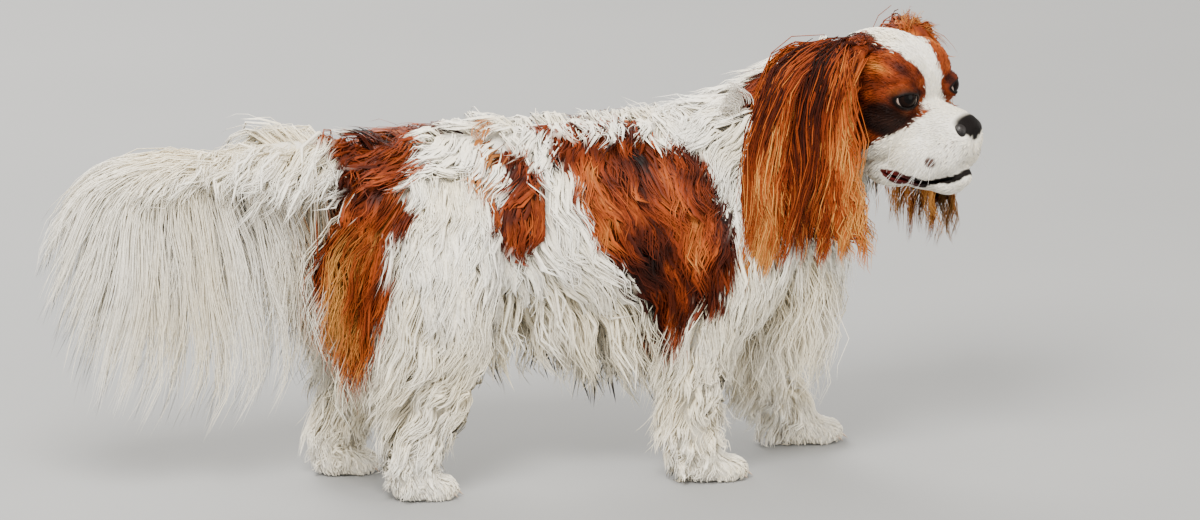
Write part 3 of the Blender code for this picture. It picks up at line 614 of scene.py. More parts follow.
class Surface:
    """A mesh as arrays, with a tree for the nearest point."""

    def __init__(self, mesh):
        self.corners = corners_of(mesh)
        self.triangles = triangles_of(mesh)
        self.tree = BVHTree.FromPolygons(self.corners.tolist(), self.triangles.tolist())

    def nearest(self, points):
        found = [self.tree.find_nearest(p) for p in points.tolist()]
        near = np.array([f[0] for f in found])
        normal = np.array([f[1] for f in found])
        index = np.array([f[2] for f in found])
        away = np.array([f[3] for f in found])
        return near, normal, index, away

    def scatter(self, count, draw):
        """Points spread evenly over the surface, and their normals."""
        a, b, c = (self.corners[self.triangles[:, k]] for k in range(3))
        normal = np.cross(b - a, c - a)
        area = np.linalg.norm(normal, axis=1)
        pick = draw.choice(len(area), count, p=area / area.sum())
        u, v = draw.random((2, count, 1))
        u, v = np.where(u + v > 1, 1 - u, u), np.where(u + v > 1, 1 - v, v)
        points = a[pick] + u * (b - a)[pick] + v * (c - a)[pick]
        return points, unit(normal[pick])


# The skin


def sides_of(place):
    x, y, z = place
    return [(x, y, z)] if y == 0 else [(x, y, z), (x, -y, z)]


def lid_opening(side):
    """The almond between the lids, as a long prism that leads out of the eye."""
    reach, points = 0.030, 28
    turn = Matrix.Rotation(side * EYE_OUT, 4, "Z")
    place = Matrix.Translation(EYE_PLACE * Vector((1, side, 1)))
    rings = []
    for step in (0.0, reach):
        ring = []
        for k in range(points):
            angle = 2 * math.pi * k / points
            tall = LID_UP if math.sin(angle) > 0 else LID_DOWN
            rise = tall * math.sin(angle) * abs(math.sin(angle)) ** 0.25
            ring.append(place @ turn @ Vector((step, LID_HALF_LONG * math.cos(angle), rise)))
        rings.append(ring)
    return loft("opening", rings)


def line_distance(points, line):
    """Distance of each point from a line of straight pieces."""
    best = np.full(len(points), 1e9)
    line = np.array(line, float)
    for a, b in zip(line, line[1:]):
        along = b - a
        t = np.clip(((points - a) @ along) / (along @ along), 0, 1)
        best = np.minimum(best, np.linalg.norm(points - (a + t[:, None] * along), axis=1))
    return best


def press_folds(obj):
    """Presses the face's folds into the head, in its own frame."""
    corners = corners_of(obj.data)
    flat = np.zeros(len(obj.data.vertices) * 3)
    obj.data.vertices.foreach_get("normal", flat)
    normals = flat.reshape(-1, 3)
    mirrored = corners * np.array((1, 0, 1)) + np.abs(corners) * np.array((0, 1, 0))
    depth = np.zeros(len(corners))
    for line, deep, wide in FOLDS:
        depth += deep * np.exp(-((line_distance(mirrored, line) / wide) ** 2))
    moved = corners - normals * depth[:, None]
    obj.data.vertices.foreach_set("co", moved.ravel())
    obj.data.update()


def make_head():
    """The head and muzzle, with the mouth's slit and the lids' openings cut into them."""
    forms = [ball("ball", place, radii) for middle, radii in HEAD_BALLS for place in sides_of(middle)]
    forms.append(trunk("muzzle", [(x, z, w, h, h) for x, z, w, h in MUZZLE], 24, 40))
    lid = EYE_RADIUS + 0.0019
    forms += [ball("lid", EYE_PLACE * Vector((1, side, 1)), (lid, lid, lid)) for side in (-1, 1)]
    head = melt("head", forms, 0.0015, 12)
    press_folds(head)
    line = [(x, z, opened / 2) for (x, z), opened in zip(MOUTH, MOUTH_OPEN)]
    slit = [(x, z - half) for x, z, half in line[1:]]
    slit += [(x, z + half) for x, z, half in line[:0:-1]] + [MOUTH[0]]
    combine(head, slab("slit", slit, 0.1), "DIFFERENCE")
    for side in (-1, 1):
        combine(head, lid_opening(side), "DIFFERENCE")
    head = melt("head", [head], HEAD_VOXEL, 3)
    thin = head.modifiers.new("thin", "DECIMATE")
    thin.ratio = HEAD_KEEP
    apply(head)
    head.data.transform(HEAD_MATRIX)
    return head


def ear_axes(side):
    """The ear's directions in the head's frame: towards its rear edge, and out of its face."""
    yaw = EAR_YAW[side]
    rearward = Vector((-math.cos(yaw), side * math.sin(yaw), 0.0))
    outward = Vector((math.sin(yaw), side * math.cos(yaw), 0.0))
    return rearward, outward


def make_ear(side):
    rearward, outward = ear_axes(side)
    count, sides = 30, 28
    rows = through(EAR, count)
    centres = [Vector((x, side * y * EAR_OUT[side], z)) for x, y, z, *_ in rows]
    rings = []
    for k, (_, _, _, half_width, half_thick, cup) in enumerate(rows):
        down = (centres[min(k + 1, count - 1)] - centres[max(k - 1, 0)]).normalized()
        face = rearward.cross(down).normalized()
        face *= math.copysign(1.0, face.dot(outward + Vector((0, 0, 1))))
        ring = []
        for j in range(sides):
            angle = 2 * math.pi * j / sides
            out = half_thick * math.sin(angle) + cup * math.sin(angle) ** 2
            ring.append(centres[k] + rearward * (half_width * math.cos(angle)) + face * out)
        rings.append(ring)
    ear = loft("ear", rings)
    ear.data.transform(HEAD_MATRIX)
    return ear


def leg_rows(rows, side, stride):
    top, foot = rows[0][2], rows[-1][2]
    moved = []
    for x, y, z, across, fore in rows:
        share = (top - z) / (top - foot)
        shift = stride[0] + (stride[1] - stride[0]) * share if side > 0 else 0.0
        moved.append((x + shift, side * y, z, across, fore))
    return moved


def make_paw(rows):
    foot_x, foot_y = rows[-1][0], rows[-1][1]
    middle = Vector((foot_x + PAW_REACH, foot_y, 0.0))
    pad_size = (PAW_LENGTH / 2 - 0.002, PAW_WIDTH / 2 - 0.002, PAW_HEIGHT * 0.55)
    forms = [ball("pad", middle + Vector((-0.006, 0, 0.012)), pad_size)]
    for reach, spread in zip(TOE_REACH, TOE_SPREAD):
        forms.append(ball("toe", middle + Vector((reach - 0.002, spread, 0.0085)), TOE_SIZE))
    forms.append(ball("ankle", Vector((foot_x - 0.002, foot_y, ANKLE_HEIGHT)), (0.016, 0.015, 0.020)))
    return melt("paw", forms, 0.0016, 3)


def make_skin():
    """One closed skin, and the surface of each part that it is made of."""
    parts = {
        "torso": trunk("torso", TORSO, 60, 56),
        "neck": limb("neck", NECK),
        "tail": limb("tail", TAIL, 40, 18),
    }
    tables = {}
    for name, rows, stride in (("foreleg", FORELEG, FORE_STRIDE), ("hindleg", HINDLEG, HIND_STRIDE)):
        for side_name, side in (("right", -1), ("left", 1)):
            table = leg_rows(rows, side, stride)
            tables[f"{name}_{side_name}"] = table
            parts[f"{name}_{side_name}"] = limb("leg", table)
            parts[f"paw_{name}_{side_name}"] = make_paw(table)
    parts["ear_right"], parts["ear_left"] = make_ear(-1), make_ear(1)
    head = make_head()
    surfaces = {name: Surface(obj.data) for name, obj in parts.items()}
    surfaces["head"] = Surface(head.data)
    skin = melt("skin", list(parts.values()), BODY_VOXEL, 3)
    combine(skin, head, "UNION")
    keep_above_floor(skin)
    bm = bmesh.new()
    bm.from_mesh(skin.data)
    bmesh.ops.triangulate(bm, faces=bm.faces)
    bm.to_mesh(skin.data)
    bm.free()
    return skin, surfaces, tables


def keep_above_floor(obj):
    corners = corners_of(obj.data)
    corners[:, 2] = np.maximum(corners[:, 2], SKIN_HEIGHT)
    obj.data.vertices.foreach_set("co", corners.ravel())
    obj.data.update()


def unwrap(obj):
    """Lays the skin's own map, named OFBake, and gives it for each corner of each triangle."""
    layer = obj.data.uv_layers.new(name="OFBake")
    obj.data.uv_layers.active = layer
    bpy.context.view_layer.objects.active = obj
    obj.select_set(True)
    bpy.ops.object.mode_set(mode="EDIT")
    bpy.ops.mesh.select_all(action="SELECT")
    bpy.ops.uv.smart_project(angle_limit=math.radians(60), island_margin=0.002)
    bpy.ops.object.mode_set(mode="OBJECT")
    flat = np.zeros(len(obj.data.loops) * 2)
    obj.data.uv_layers["OFBake"].data.foreach_get("uv", flat)
    return flat.reshape(-1, 3, 2)


# Markings


def rounded(outline, steps=3):
    """A closed outline as a smooth curve through its points."""
    here = np.array(outline)[:, None]
    before, after, beyond = (np.roll(here, shift, 0) for shift in (1, -1, -2))
    t = (np.arange(steps) / steps)[None, :, None]
    square = (2 * before - 5 * here + 4 * after - beyond) * t**2
    cube = (3 * here - before - 3 * after + beyond) * t**3
    return (0.5 * (2 * here + (after - before) * t + square + cube)).reshape(-1, 2)


def patch_depth(points, outline):
    """How far inside an outline each point lies; outside is below zero."""
    closed = np.concatenate([outline, outline[:1]])
    edge = line_distance(points, closed)
    odd = np.zeros(len(points), bool)
    for a, b in zip(closed, closed[1:]):
        along = b - a
        crosses = (a[1] > points[:, 1]) != (b[1] > points[:, 1])
        rise = np.where(abs(along[1]) > 1e-12, along[1], 1e-12)
        odd ^= crosses & (points[:, 0] < a[0] + along[0] * (points[:, 1] - a[1]) / rise)
    return np.where(odd, edge, -edge)


def red_coat(points, seed=3, near_tones=False, lift=-0.3):
    """Chestnut that varies from mahogany to ginger over the body."""
    tone = ripple(points, 0.030, seed) * 0.65 + ripple(points, 0.009, seed + 1) * 0.60 + lift
    if near_tones:
        for x, z, half_x, half_z, step in TONES:
            reach = ((points[:, 0] - x) / half_x) ** 2 + ((points[:, 2] - z) / half_z) ** 2
            tone += np.where(points[:, 1] < 0.005, step * np.exp(-reach), 0)
    return toned(tone)


def toned(tone):
    return np.stack([np.interp(tone, TONE_STEPS, REDS[:, k]) for k in range(3)], -1)


def white_coat(points):
    # Painted shade: the white turns creamier low on the belly and flanks, above the paws; elsewhere its
    # cream varies at random.
    low = smooth(0.22, 0.10, points[:, 2]) * smooth(0.02, 0.06, points[:, 2])
    tone = np.clip(ripple(points, 0.035, 5) * 0.25 + 0.10 + 0.45 * low, 0, 0.8)
    return mix(WHITE[None], CREAM[None], tone)


def body_colour(points, stray):
    """The colour of skin and coat on the body. stray shifts a hair over a patch's edge."""
    near_side = points[:, 1] < 0
    flat = points[:, (0, 2)]
    edge = 0.0045 * ripple(points, 0.016, 11) + stray
    red = np.zeros(len(points))
    for side, outline in PATCHES:
        here = near_side if side < 0 else ~near_side
        depth = patch_depth(flat, rounded(outline)) + edge
        red = np.maximum(red, here * smooth(-PATCH_EDGE, PATCH_EDGE, depth))
    colour = mix(white_coat(points), red_coat(points, 3, True), red)
    for x, z, half_x, half_z, share in SPOTS:
        reach = np.hypot((flat[:, 0] - x) / half_x, (flat[:, 1] - z) / half_z)
        strength = share * smooth(1.35, 0.60, reach)
        picked = smooth(-0.0006, 0.0006, stray + 0.009 * (strength - 0.55)) * (strength > 0.02)
        colour = mix(colour, GINGER[None], near_side * picked)
    return colour


def head_colour(points, stray):
    h = to_head(points)
    x, y, z = h.T
    angle = np.degrees(np.arctan2(z, x))
    angle = np.where(angle < -90, 180.0, angle)
    keys = np.array(BLAZE)[::-1]
    near_half, far_half = (np.interp(angle, keys[:, 0], keys[:, k]) for k in (1, 2))
    half = np.where(y < 0, near_half, far_half)
    edge = 0.0010 * ripple(points, 0.010, 21) + 0.7 * stray
    red = smooth(-0.0010, 0.0010, np.abs(y) - half + edge)
    red *= smooth(-0.0015, 0.0015, z - height_on(CHEEK_LINE, x) + edge)
    red *= smooth(0.0615, 0.0575, x + 0.3 * edge)
    behind = (x < -0.052 + 0.2 * edge) & (np.abs(y) < 0.020 + edge)
    red = np.where(behind, red * smooth(-0.066, -0.056, x), red)
    colour = mix(white_coat(points), red_coat(points, 7), red)
    eye = nearest_eye(h)
    # Near-black behind the near eye on the red: dark fur with painted shade, soft at its edge.
    fur_and_shade_reach = np.hypot((x - FUR_AND_SHADE_PLACE[0]) / FUR_AND_SHADE_SIZE[0], (z - FUR_AND_SHADE_PLACE[1]) / FUR_AND_SHADE_SIZE[1])
    shade = 0.97 * smooth(1.40, 0.66, fur_and_shade_reach) * (y < 0) * red
    # Painted shade of the socket round each eye, over fur that is darker there too; strongest on the near
    # side.
    shade = np.maximum(shade, smooth(0.010, 0.003, eye) * np.where(y < 0, 0.80, 0.30) * red)
    colour = mix(colour, REDS[:1], shade)
    colour = mix(colour, RIM[None], smooth(1.02, 0.96, pad_reach(h, 0.0008)))
    # Black lid rims, broader on the near side, where they also paint the shade of the heavy brow.
    colour = mix(colour, RIM[None], smooth(np.where(y < 0, 0.0038, 0.0022), 0.0012, eye))
    freckle = np.linalg.norm(h - np.array(FRECKLE_PLACE), axis=1)
    colour = mix(colour, FRECKLE[None], smooth(0.0066, 0.0038, freckle) * 0.95)
    fleck = (np.abs(stray) > 0.0045) & (x > 0.070) & (z < -0.033) & (z > -0.058)
    colour = mix(colour, FLECK[None], 0.8 * fleck)
    inner = mix(GUM[None], LIP[None], smooth(0.034, 0.052, x))
    lips = lip_distance(h) + 0.0005 * ripple(points, 0.004, 9)
    return mix(colour, inner, smooth(0.0015, 0.0005, lips))


def lip_distance(h):
    """How far each point lies outside the bare lips, broadest at the corner and in front."""
    x, z = h[:, 0], h[:, 2]
    corner = smooth(0.014, 0.026, x) * smooth(0.060, 0.048, x)
    front = smooth(0.068, 0.078, x) * (z < height_on(MOUTH, x))
    bare = np.interp(x, np.array(MOUTH)[:, 0], MOUTH_OPEN) / 2 + 0.0040 * corner + 0.0026 * front
    return line_distance(h[:, (0, 2)], MOUTH) - bare + 0.004 * smooth(0.004, -0.004, x - MOUTH[0][0])


def eye_distance(h, side):
    """Distance on the head's skin from the edge of the lids' opening."""
    turn = np.array(Matrix.Rotation(side * EYE_OUT, 3, "Z"))
    local = (h - np.array(EYE_PLACE) * np.array((1, side, 1))) @ turn
    tall = np.where(local[:, 2] > 0, LID_UP, LID_DOWN)
    reach = np.hypot(local[:, 1] / LID_HALF_LONG, local[:, 2] / tall)
    away = np.hypot(local[:, 1], local[:, 2]) * (1 - 1 / np.maximum(reach, 1e-6))
    return np.where(local[:, 0] > -0.004, np.maximum(away, 0.0), 1.0)


def nearest_eye(h):
    return np.minimum(eye_distance(h, -1), eye_distance(h, 1))


def pad_reach(h, margin):
    """The reach from the nose pad's middle, where 1 is a margin outside its surface."""
    return np.linalg.norm((h - np.array(NOSE_PLACE)) / (np.array(NOSE_SIZE) + margin), axis=1)


def colour_of(part, points, stray):
    if part == "head":
        return head_colour(points, stray)
    if part.startswith("ear"):
        return red_coat(points, 7, lift=0.7 if part == "ear_left" else -0.2)
    return body_colour(points, stray)


# Strands


def settle(t):
    """The share of its rise that a hair has at t: soon up, then level, and down at the tip."""
    return (1 - math.exp(-5.5 * t)) * (1 - 0.35 * t**4)


def carried(normal, before, after):
    """A normal turned as its heading turns."""
    along = before + after
    return unit(normal - along * dot(normal, after) / np.maximum(1 + dot(before, after), 0.05))


def comb(skin, roots, normals, lie, hang, length, rise, cling, wave, wavelength, steps, draw):
    """The middle lines of hairs that follow the skin, and their outward sides.

    lie gives the way of the coat at places; hang is where hairs head once they are free.
    """
    phase = 2 * math.pi * ripple(roots, 0.045, 31) + draw.uniform(-0.4, 0.4, len(roots))
    length, rise = np.broadcast_to(length, len(roots)), rise * draw.uniform(0.70, 1.05, len(roots))
    cling = np.broadcast_to(cling, len(roots))[:, None]
    place, normal, before = roots.copy(), normals, None
    paths, outs = [roots - normals * ROOT_SINK], [normals]
    for k in range(1, steps + 1):
        t = k / steps
        free = (1 - cling) * smooth(0.0, 0.5, t)
        wanted = unit(unit(lie(place, normal)) * (1 - free) + hang * free)
        flat = unit(wanted - normal * dot(wanted, normal))
        share = np.where(cling >= 1, 1.0, cling * (1 - t))
        heading = unit(wanted * (1 - share) + flat * share)
        if before is not None:
            normal = carried(normal, before, heading)
        place = place + heading * (length / steps)[:, None]
        near, found, _, _ = skin.nearest(place)
        level = (rise * settle(t))[:, None]
        low = (dot(place - near, found) < level) | (cling >= 1)
        place = np.where(low, near + found * level, place)
        normal = np.where(low, unit(normal + 2 * found), normal)
        normal = unit(normal - heading * dot(normal, heading) * 0.9)
        before = heading
        across = unit(np.cross(heading, normal))
        turn = phase + 2 * math.pi * t * length / wavelength
        size = wave * t**0.7
        sway = across * (size * np.sin(turn))[:, None]
        sway = sway + normal * (0.30 * size * (1 + np.cos(turn)))[:, None]
        paths.append(place + sway)
        outs.append(normal)
    return np.stack(paths, 1), np.stack(outs, 1)


def string(roots, tips, start, end, outward, wave, wavelength, steps, phase, bow=0.0):
    """Free hairs along smooth curves from roots to tips; start and end are their pulls."""
    reach = np.linalg.norm(tips - roots, axis=1, keepdims=True)
    across = unit(np.cross(unit(tips - roots), outward))
    paths = []
    for k in range(steps + 1):
        t = k / steps
        spot = curve_at(t, roots, tips, reach, start, end)
        turn = phase + 2 * math.pi * t * reach[:, 0] / wavelength
        size = wave * min(1.0, 1.8 * t)
        sway = across * (size * np.sin(turn))[:, None]
        sway = sway + outward * (0.6 * size * np.cos(turn))[:, None]
        paths.append(spot + sway + outward * (bow * math.sin(math.pi * min(1.3 * t, 1.0))))
    return np.stack(paths, 1), np.repeat(outward[:, None], steps + 1, 1)


def sample(paths, share):
    """The points a share of the way along each path."""
    last = paths.shape[1] - 1
    at = np.clip(share * last, 0, last - 1e-6)
    low = at.astype(int)
    rest = (at - low)[..., None]
    rows = np.arange(len(paths)).reshape(-1, *([1] * (share.ndim - 1)))
    return paths[rows, low] * (1 - rest) + paths[rows, low + 1] * rest


def owners(roots, guides):
    """The nearest guide to each root."""
    found = np.zeros(len(roots), int)
    for start in range(0, len(roots), 2000):
        part = roots[start : start + 2000]
        away = ((part[:, None] - guides[None]) ** 2).sum(-1)
        found[start : start + 2000] = away.argmin(1)
    return found


def axes_of(paths, outs):
    """The ways along, across and out of each path at each of its points."""
    along = np.gradient(paths, axis=1)
    along = unit(along - outs * dot(along, outs))
    across = unit(np.cross(along, outs))
    return np.stack([along, across, np.cross(across, along)], -1)


def brood(paths, outs, roots, owner, clump, frizz, draw, steps, shortest=0.72, depth=0.0, stray=0.0):
    """Hairs that follow their guide and gather towards its tip. A few stand out by stray."""
    t = np.linspace(0, 1, steps + 1)
    scale = draw.uniform(shortest, 1.06, len(roots))
    share = np.clip(t[None] * scale[:, None], 0, 1)
    guide = sample(paths[owner], share)
    axes = axes_of(paths, outs)
    offset = np.einsum("hij,hi->hj", axes[owner, 0], roots - paths[owner, 0])
    at = np.round(share * (paths.shape[1] - 1)).astype(int)
    turned = np.einsum("hsij,hj->hsi", axes[owner[:, None], at], offset)
    keep = 1 - clump * share**1.1
    bend = draw.normal(size=(len(roots), 1, 3)) * frizz
    twist = draw.normal(size=(len(roots), 1, 3)) * (0.5 * frizz)
    each = (len(roots), 1, 1)
    sink = depth * draw.random(each) * (1 - np.exp(-5.5 * t))[None, :, None]
    t = t[None, :, None]
    loose = draw.random(each) < LOOSE_SHARE
    sink = sink - stray * loose * draw.uniform(0.2, 1.0, each) * t**1.5
    strands = guide + turned * keep[..., None] + bend * t**1.2 + twist * np.sin(2.5 * math.pi * t)
    sides = outs[owner[:, None], at]
    return strands - sides * sink, sides


def weave(name, paths, outs, half_width, colours, root_uv, material, soft):
    """Closed three-sided tapered strands as joined meshes, each under the triangle limit."""
    steps = paths.shape[1] - 1
    ends = [(j, (j + 1) % 3) for j in range(3)]
    faces = [(low + a, low + 3 + a, low + 3 + b) for low in range(0, 3 * steps - 3, 3) for a, b in ends]
    faces += [(low + a, low + 3 + b, low + b) for low in range(0, 3 * steps - 3, 3) for a, b in ends]
    top, tip = (steps - 1) * 3, steps * 3
    faces = np.array(faces + [(top + a, tip, top + b) for a, b in ends] + [(0, 1, 2)])
    most = MOST_TRIANGLES // len(faces)
    for part, start in enumerate(range(0, len(paths), most)):
        rows = slice(start, start + most)
        hairs = [values[rows] for values in (paths, outs, half_width, colours, root_uv, soft)]
        dress(weave_one(f"{name}_{part}", *hairs, faces), material)


def weave_one(name, paths, outs, half_width, colours, root_uv, soft, strand_faces):
    """One mesh of strands that all have the same faces."""
    count, points, _ = paths.shape
    steps = points - 1
    tangent = np.empty_like(paths)
    tangent[:, 1:-1] = paths[:, 2:] - paths[:, :-2]
    tangent[:, 0], tangent[:, -1] = paths[:, 1] - paths[:, 0], paths[:, -1] - paths[:, -2]
    tangent = unit(tangent)
    across = unit(np.cross(tangent, outs))
    out = np.cross(across, tangent)
    wide = half_width[:, None, None] * np.interp(np.linspace(0, 1, points), TAPER_AT, TAPER)[None, :, None]
    low = paths - out * (0.30 * wide)
    rings = np.stack([low + across * wide, paths + out * (0.65 * wide), low - across * wide], 2)[:, :steps]
    radial = np.stack([across - 0.35 * out, out, -across - 0.35 * out], 2)[:, :steps]
    soft = soft[:, None, None, None]
    facing = unit(outs[:, :steps, None] * soft + unit(radial) * (1 - soft))
    facing = np.concatenate([facing.reshape(count, -1, 3), out[:, -1:]], 1)
    corners = np.concatenate([rings.reshape(count, -1, 3), paths[:, -1:]], 1)
    corners = corners + np.array(ORIGIN_SHIFT)
    corners[..., 2] = np.maximum(corners[..., 2], HAIR_HEIGHT)
    each = steps * 3 + 1
    faces = strand_faces[None] + (np.arange(count) * each)[:, None, None]
    mesh = bpy.data.meshes.new(name)
    mesh.vertices.add(count * each)
    mesh.vertices.foreach_set("co", corners.astype(np.float32).ravel())
    mesh.loops.add(faces.size)
    mesh.loops.foreach_set("vertex_index", faces.astype(np.int32).ravel())
    mesh.polygons.add(faces.size // 3)
    mesh.polygons.foreach_set("loop_start", np.arange(0, faces.size, 3, dtype=np.int32))
    mesh.update(calc_edges=True)
    shade = np.ones((count, each, 4), np.float32)
    shade[:, :-1, :3] = np.repeat(colours[:, :steps], 3, axis=1)
    shade[:, -1, :3] = colours[:, -1]
    give(mesh, "coat_colour", "FLOAT_COLOR", "color", shade)
    uv = np.zeros((count, each, 2))
    uv[:, :-1, 0] = np.tile((-0.5, 0.0, 0.5), steps)
    uv[:, :-1, 1] = np.repeat(np.arange(steps) / steps - 0.5, 3)
    uv[:, -1, 1] = 0.5
    uv = (uv * PATCH + root_uv[:, None]).reshape(-1, 2)
    layer = mesh.uv_layers.new(name="OFBake")
    layer.data.foreach_set("uv", uv[faces.ravel()].astype(np.float32).ravel())
    mesh.shade_smooth()
    mesh.normals_split_custom_set_from_vertices(facing.reshape(-1, 3).astype(np.float32))
    return link(name, mesh)


def dress(obj, material):
    obj.data.materials.clear()
    obj.data.materials.append(material)
    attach(obj, "root")


# Materials


def new_material(name):
    material = bpy.data.materials.new(name)
    material.use_nodes = True
    nodes, links = material.node_tree.nodes, material.node_tree.links
    return material, nodes, links, nodes["Principled BSDF"]


def fill(node, **values):
    """Sets a node's inputs; an underscore in a name stands for a space."""
    for name, value in values.items():
        node.inputs[name.replace("_", " ")].default_value = value


def pattern(nodes, links, kind, scale):
    """A texture laid out by the object's own place."""
    place = nodes.new("ShaderNodeTexCoord")
    texture = nodes.new(kind)
    fill(texture, Scale=scale)
    links.new(place.outputs["Object"], texture.inputs["Vector"])
    return texture


def tint_by(nodes, links, factor, shader, stops):
    """Colours a shader by a factor: stops of position, red, green and blue."""
    ramp = nodes.new("ShaderNodeValToRGB")
    first, *between, last = stops
    for element, stop in zip(ramp.color_ramp.elements, (first, last)):
        element.position = stop[0]
        element.color = (*stop[1:], 1)
    for position, *colour in between:
        ramp.color_ramp.elements.new(position).color = (*colour, 1)
    links.new(factor, ramp.inputs["Fac"])
    links.new(ramp.outputs["Color"], shader.inputs["Base Color"])


def raise_by(nodes, links, height, shader, strength, distance):
    raised = nodes.new("ShaderNodeBump")
    fill(raised, Strength=strength, Distance=distance)
    links.new(height, raised.inputs["Height"])
    links.new(raised.outputs["Normal"], shader.inputs["Normal"])


def coat_material(name, roughness, bump):
    """Takes the hair's own colour, with fine streaks and a little unevenness of gloss."""
    material, nodes, links, shader = new_material(name)
    colour = nodes.new("ShaderNodeAttribute")
    colour.attribute_name = "coat_colour"
    streak = pattern(nodes, links, "ShaderNodeTexNoise", 420.0)
    fill(streak, Detail=3.0)
    bright = nodes.new("ShaderNodeMapRange")
    fill(bright, From_Min=0.3, From_Max=0.7, To_Min=0.86, To_Max=1.10)
    links.new(streak.outputs["Fac"], bright.inputs["Value"])
    scale = nodes.new("ShaderNodeVectorMath")
    scale.operation = "SCALE"
    links.new(colour.outputs["Color"], scale.inputs[0])
    links.new(bright.outputs["Result"], scale.inputs["Scale"])
    links.new(scale.outputs["Vector"], shader.inputs["Base Color"])
    gloss = nodes.new("ShaderNodeMapRange")
    fill(gloss, To_Min=roughness - 0.07, To_Max=roughness + 0.07)
    links.new(streak.outputs["Fac"], gloss.inputs["Value"])
    links.new(gloss.outputs["Result"], shader.inputs["Roughness"])
    fill(shader, Specular_IOR_Level=0.10)
    if bump:
        raise_by(nodes, links, streak.outputs["Fac"], shader, bump, 0.0006)
    return material


def nose_material():
    material, nodes, links, shader = new_material("nose_leather")
    pebble = pattern(nodes, links, "ShaderNodeTexVoronoi", 900.0)
    cloud = pattern(nodes, links, "ShaderNodeTexNoise", 140.0)
    stops = ((0.35, 0.003, 0.0022, 0.0022), (0.75, 0.012, 0.009, 0.009))
    tint_by(nodes, links, cloud.outputs["Fac"], shader, stops)
    raise_by(nodes, links, pebble.outputs["Distance"], shader, 0.5, 0.0004)
    fill(shader, Roughness=0.38, Specular_IOR_Level=0.30)
    return material


def eye_material():
    """Rings of pupil, iris, limbus and white, by the angle from the gaze; furthest round, the white
    darkens as painted shade under the lids.
    """
    material, nodes, links, shader = new_material("eye_wet")
    angle = nodes.new("ShaderNodeAttribute")
    angle.attribute_name = "gaze"
    fibre = pattern(nodes, links, "ShaderNodeTexNoise", 900.0)
    jitter = nodes.new("ShaderNodeMath")
    jitter.operation = "MULTIPLY_ADD"
    jitter.inputs[1].default_value = 0.03
    links.new(fibre.outputs["Fac"], jitter.inputs[0])
    links.new(angle.outputs["Fac"], jitter.inputs[2])
    stops = (
        (0.0, 0.002, 0.002, 0.002),
        (0.255, 0.003, 0.002, 0.002),
        (0.285, 0.007, 0.0028, 0.0018),
        (0.450, 0.005, 0.0022, 0.0015),
        (0.565, 0.003, 0.002, 0.002),
        (0.590, 0.30, 0.24, 0.21),
        (0.640, 0.30, 0.21, 0.18),
        # Painted shade: the white darkens where the lids hide it.
        (0.740, 0.05, 0.03, 0.025),
        (1.0, 0.05, 0.03, 0.025),
    )
    tint_by(nodes, links, jitter.outputs["Value"], shader, stops)
    fill(shader, Roughness=0.06, Specular_IOR_Level=0.06)
    return material


def cloudy_material(name, scale, dark, light, roughness):
    """Clouds of two colours over the whole object."""
    material, nodes, links, shader = new_material(name)
    cloud = pattern(nodes, links, "ShaderNodeTexNoise", scale)
    tint_by(nodes, links, cloud.outputs["Fac"], shader, ((0.0, *dark), (1.0, *light)))
    fill(shader, Roughness=roughness)
    return material


# The coat of each part


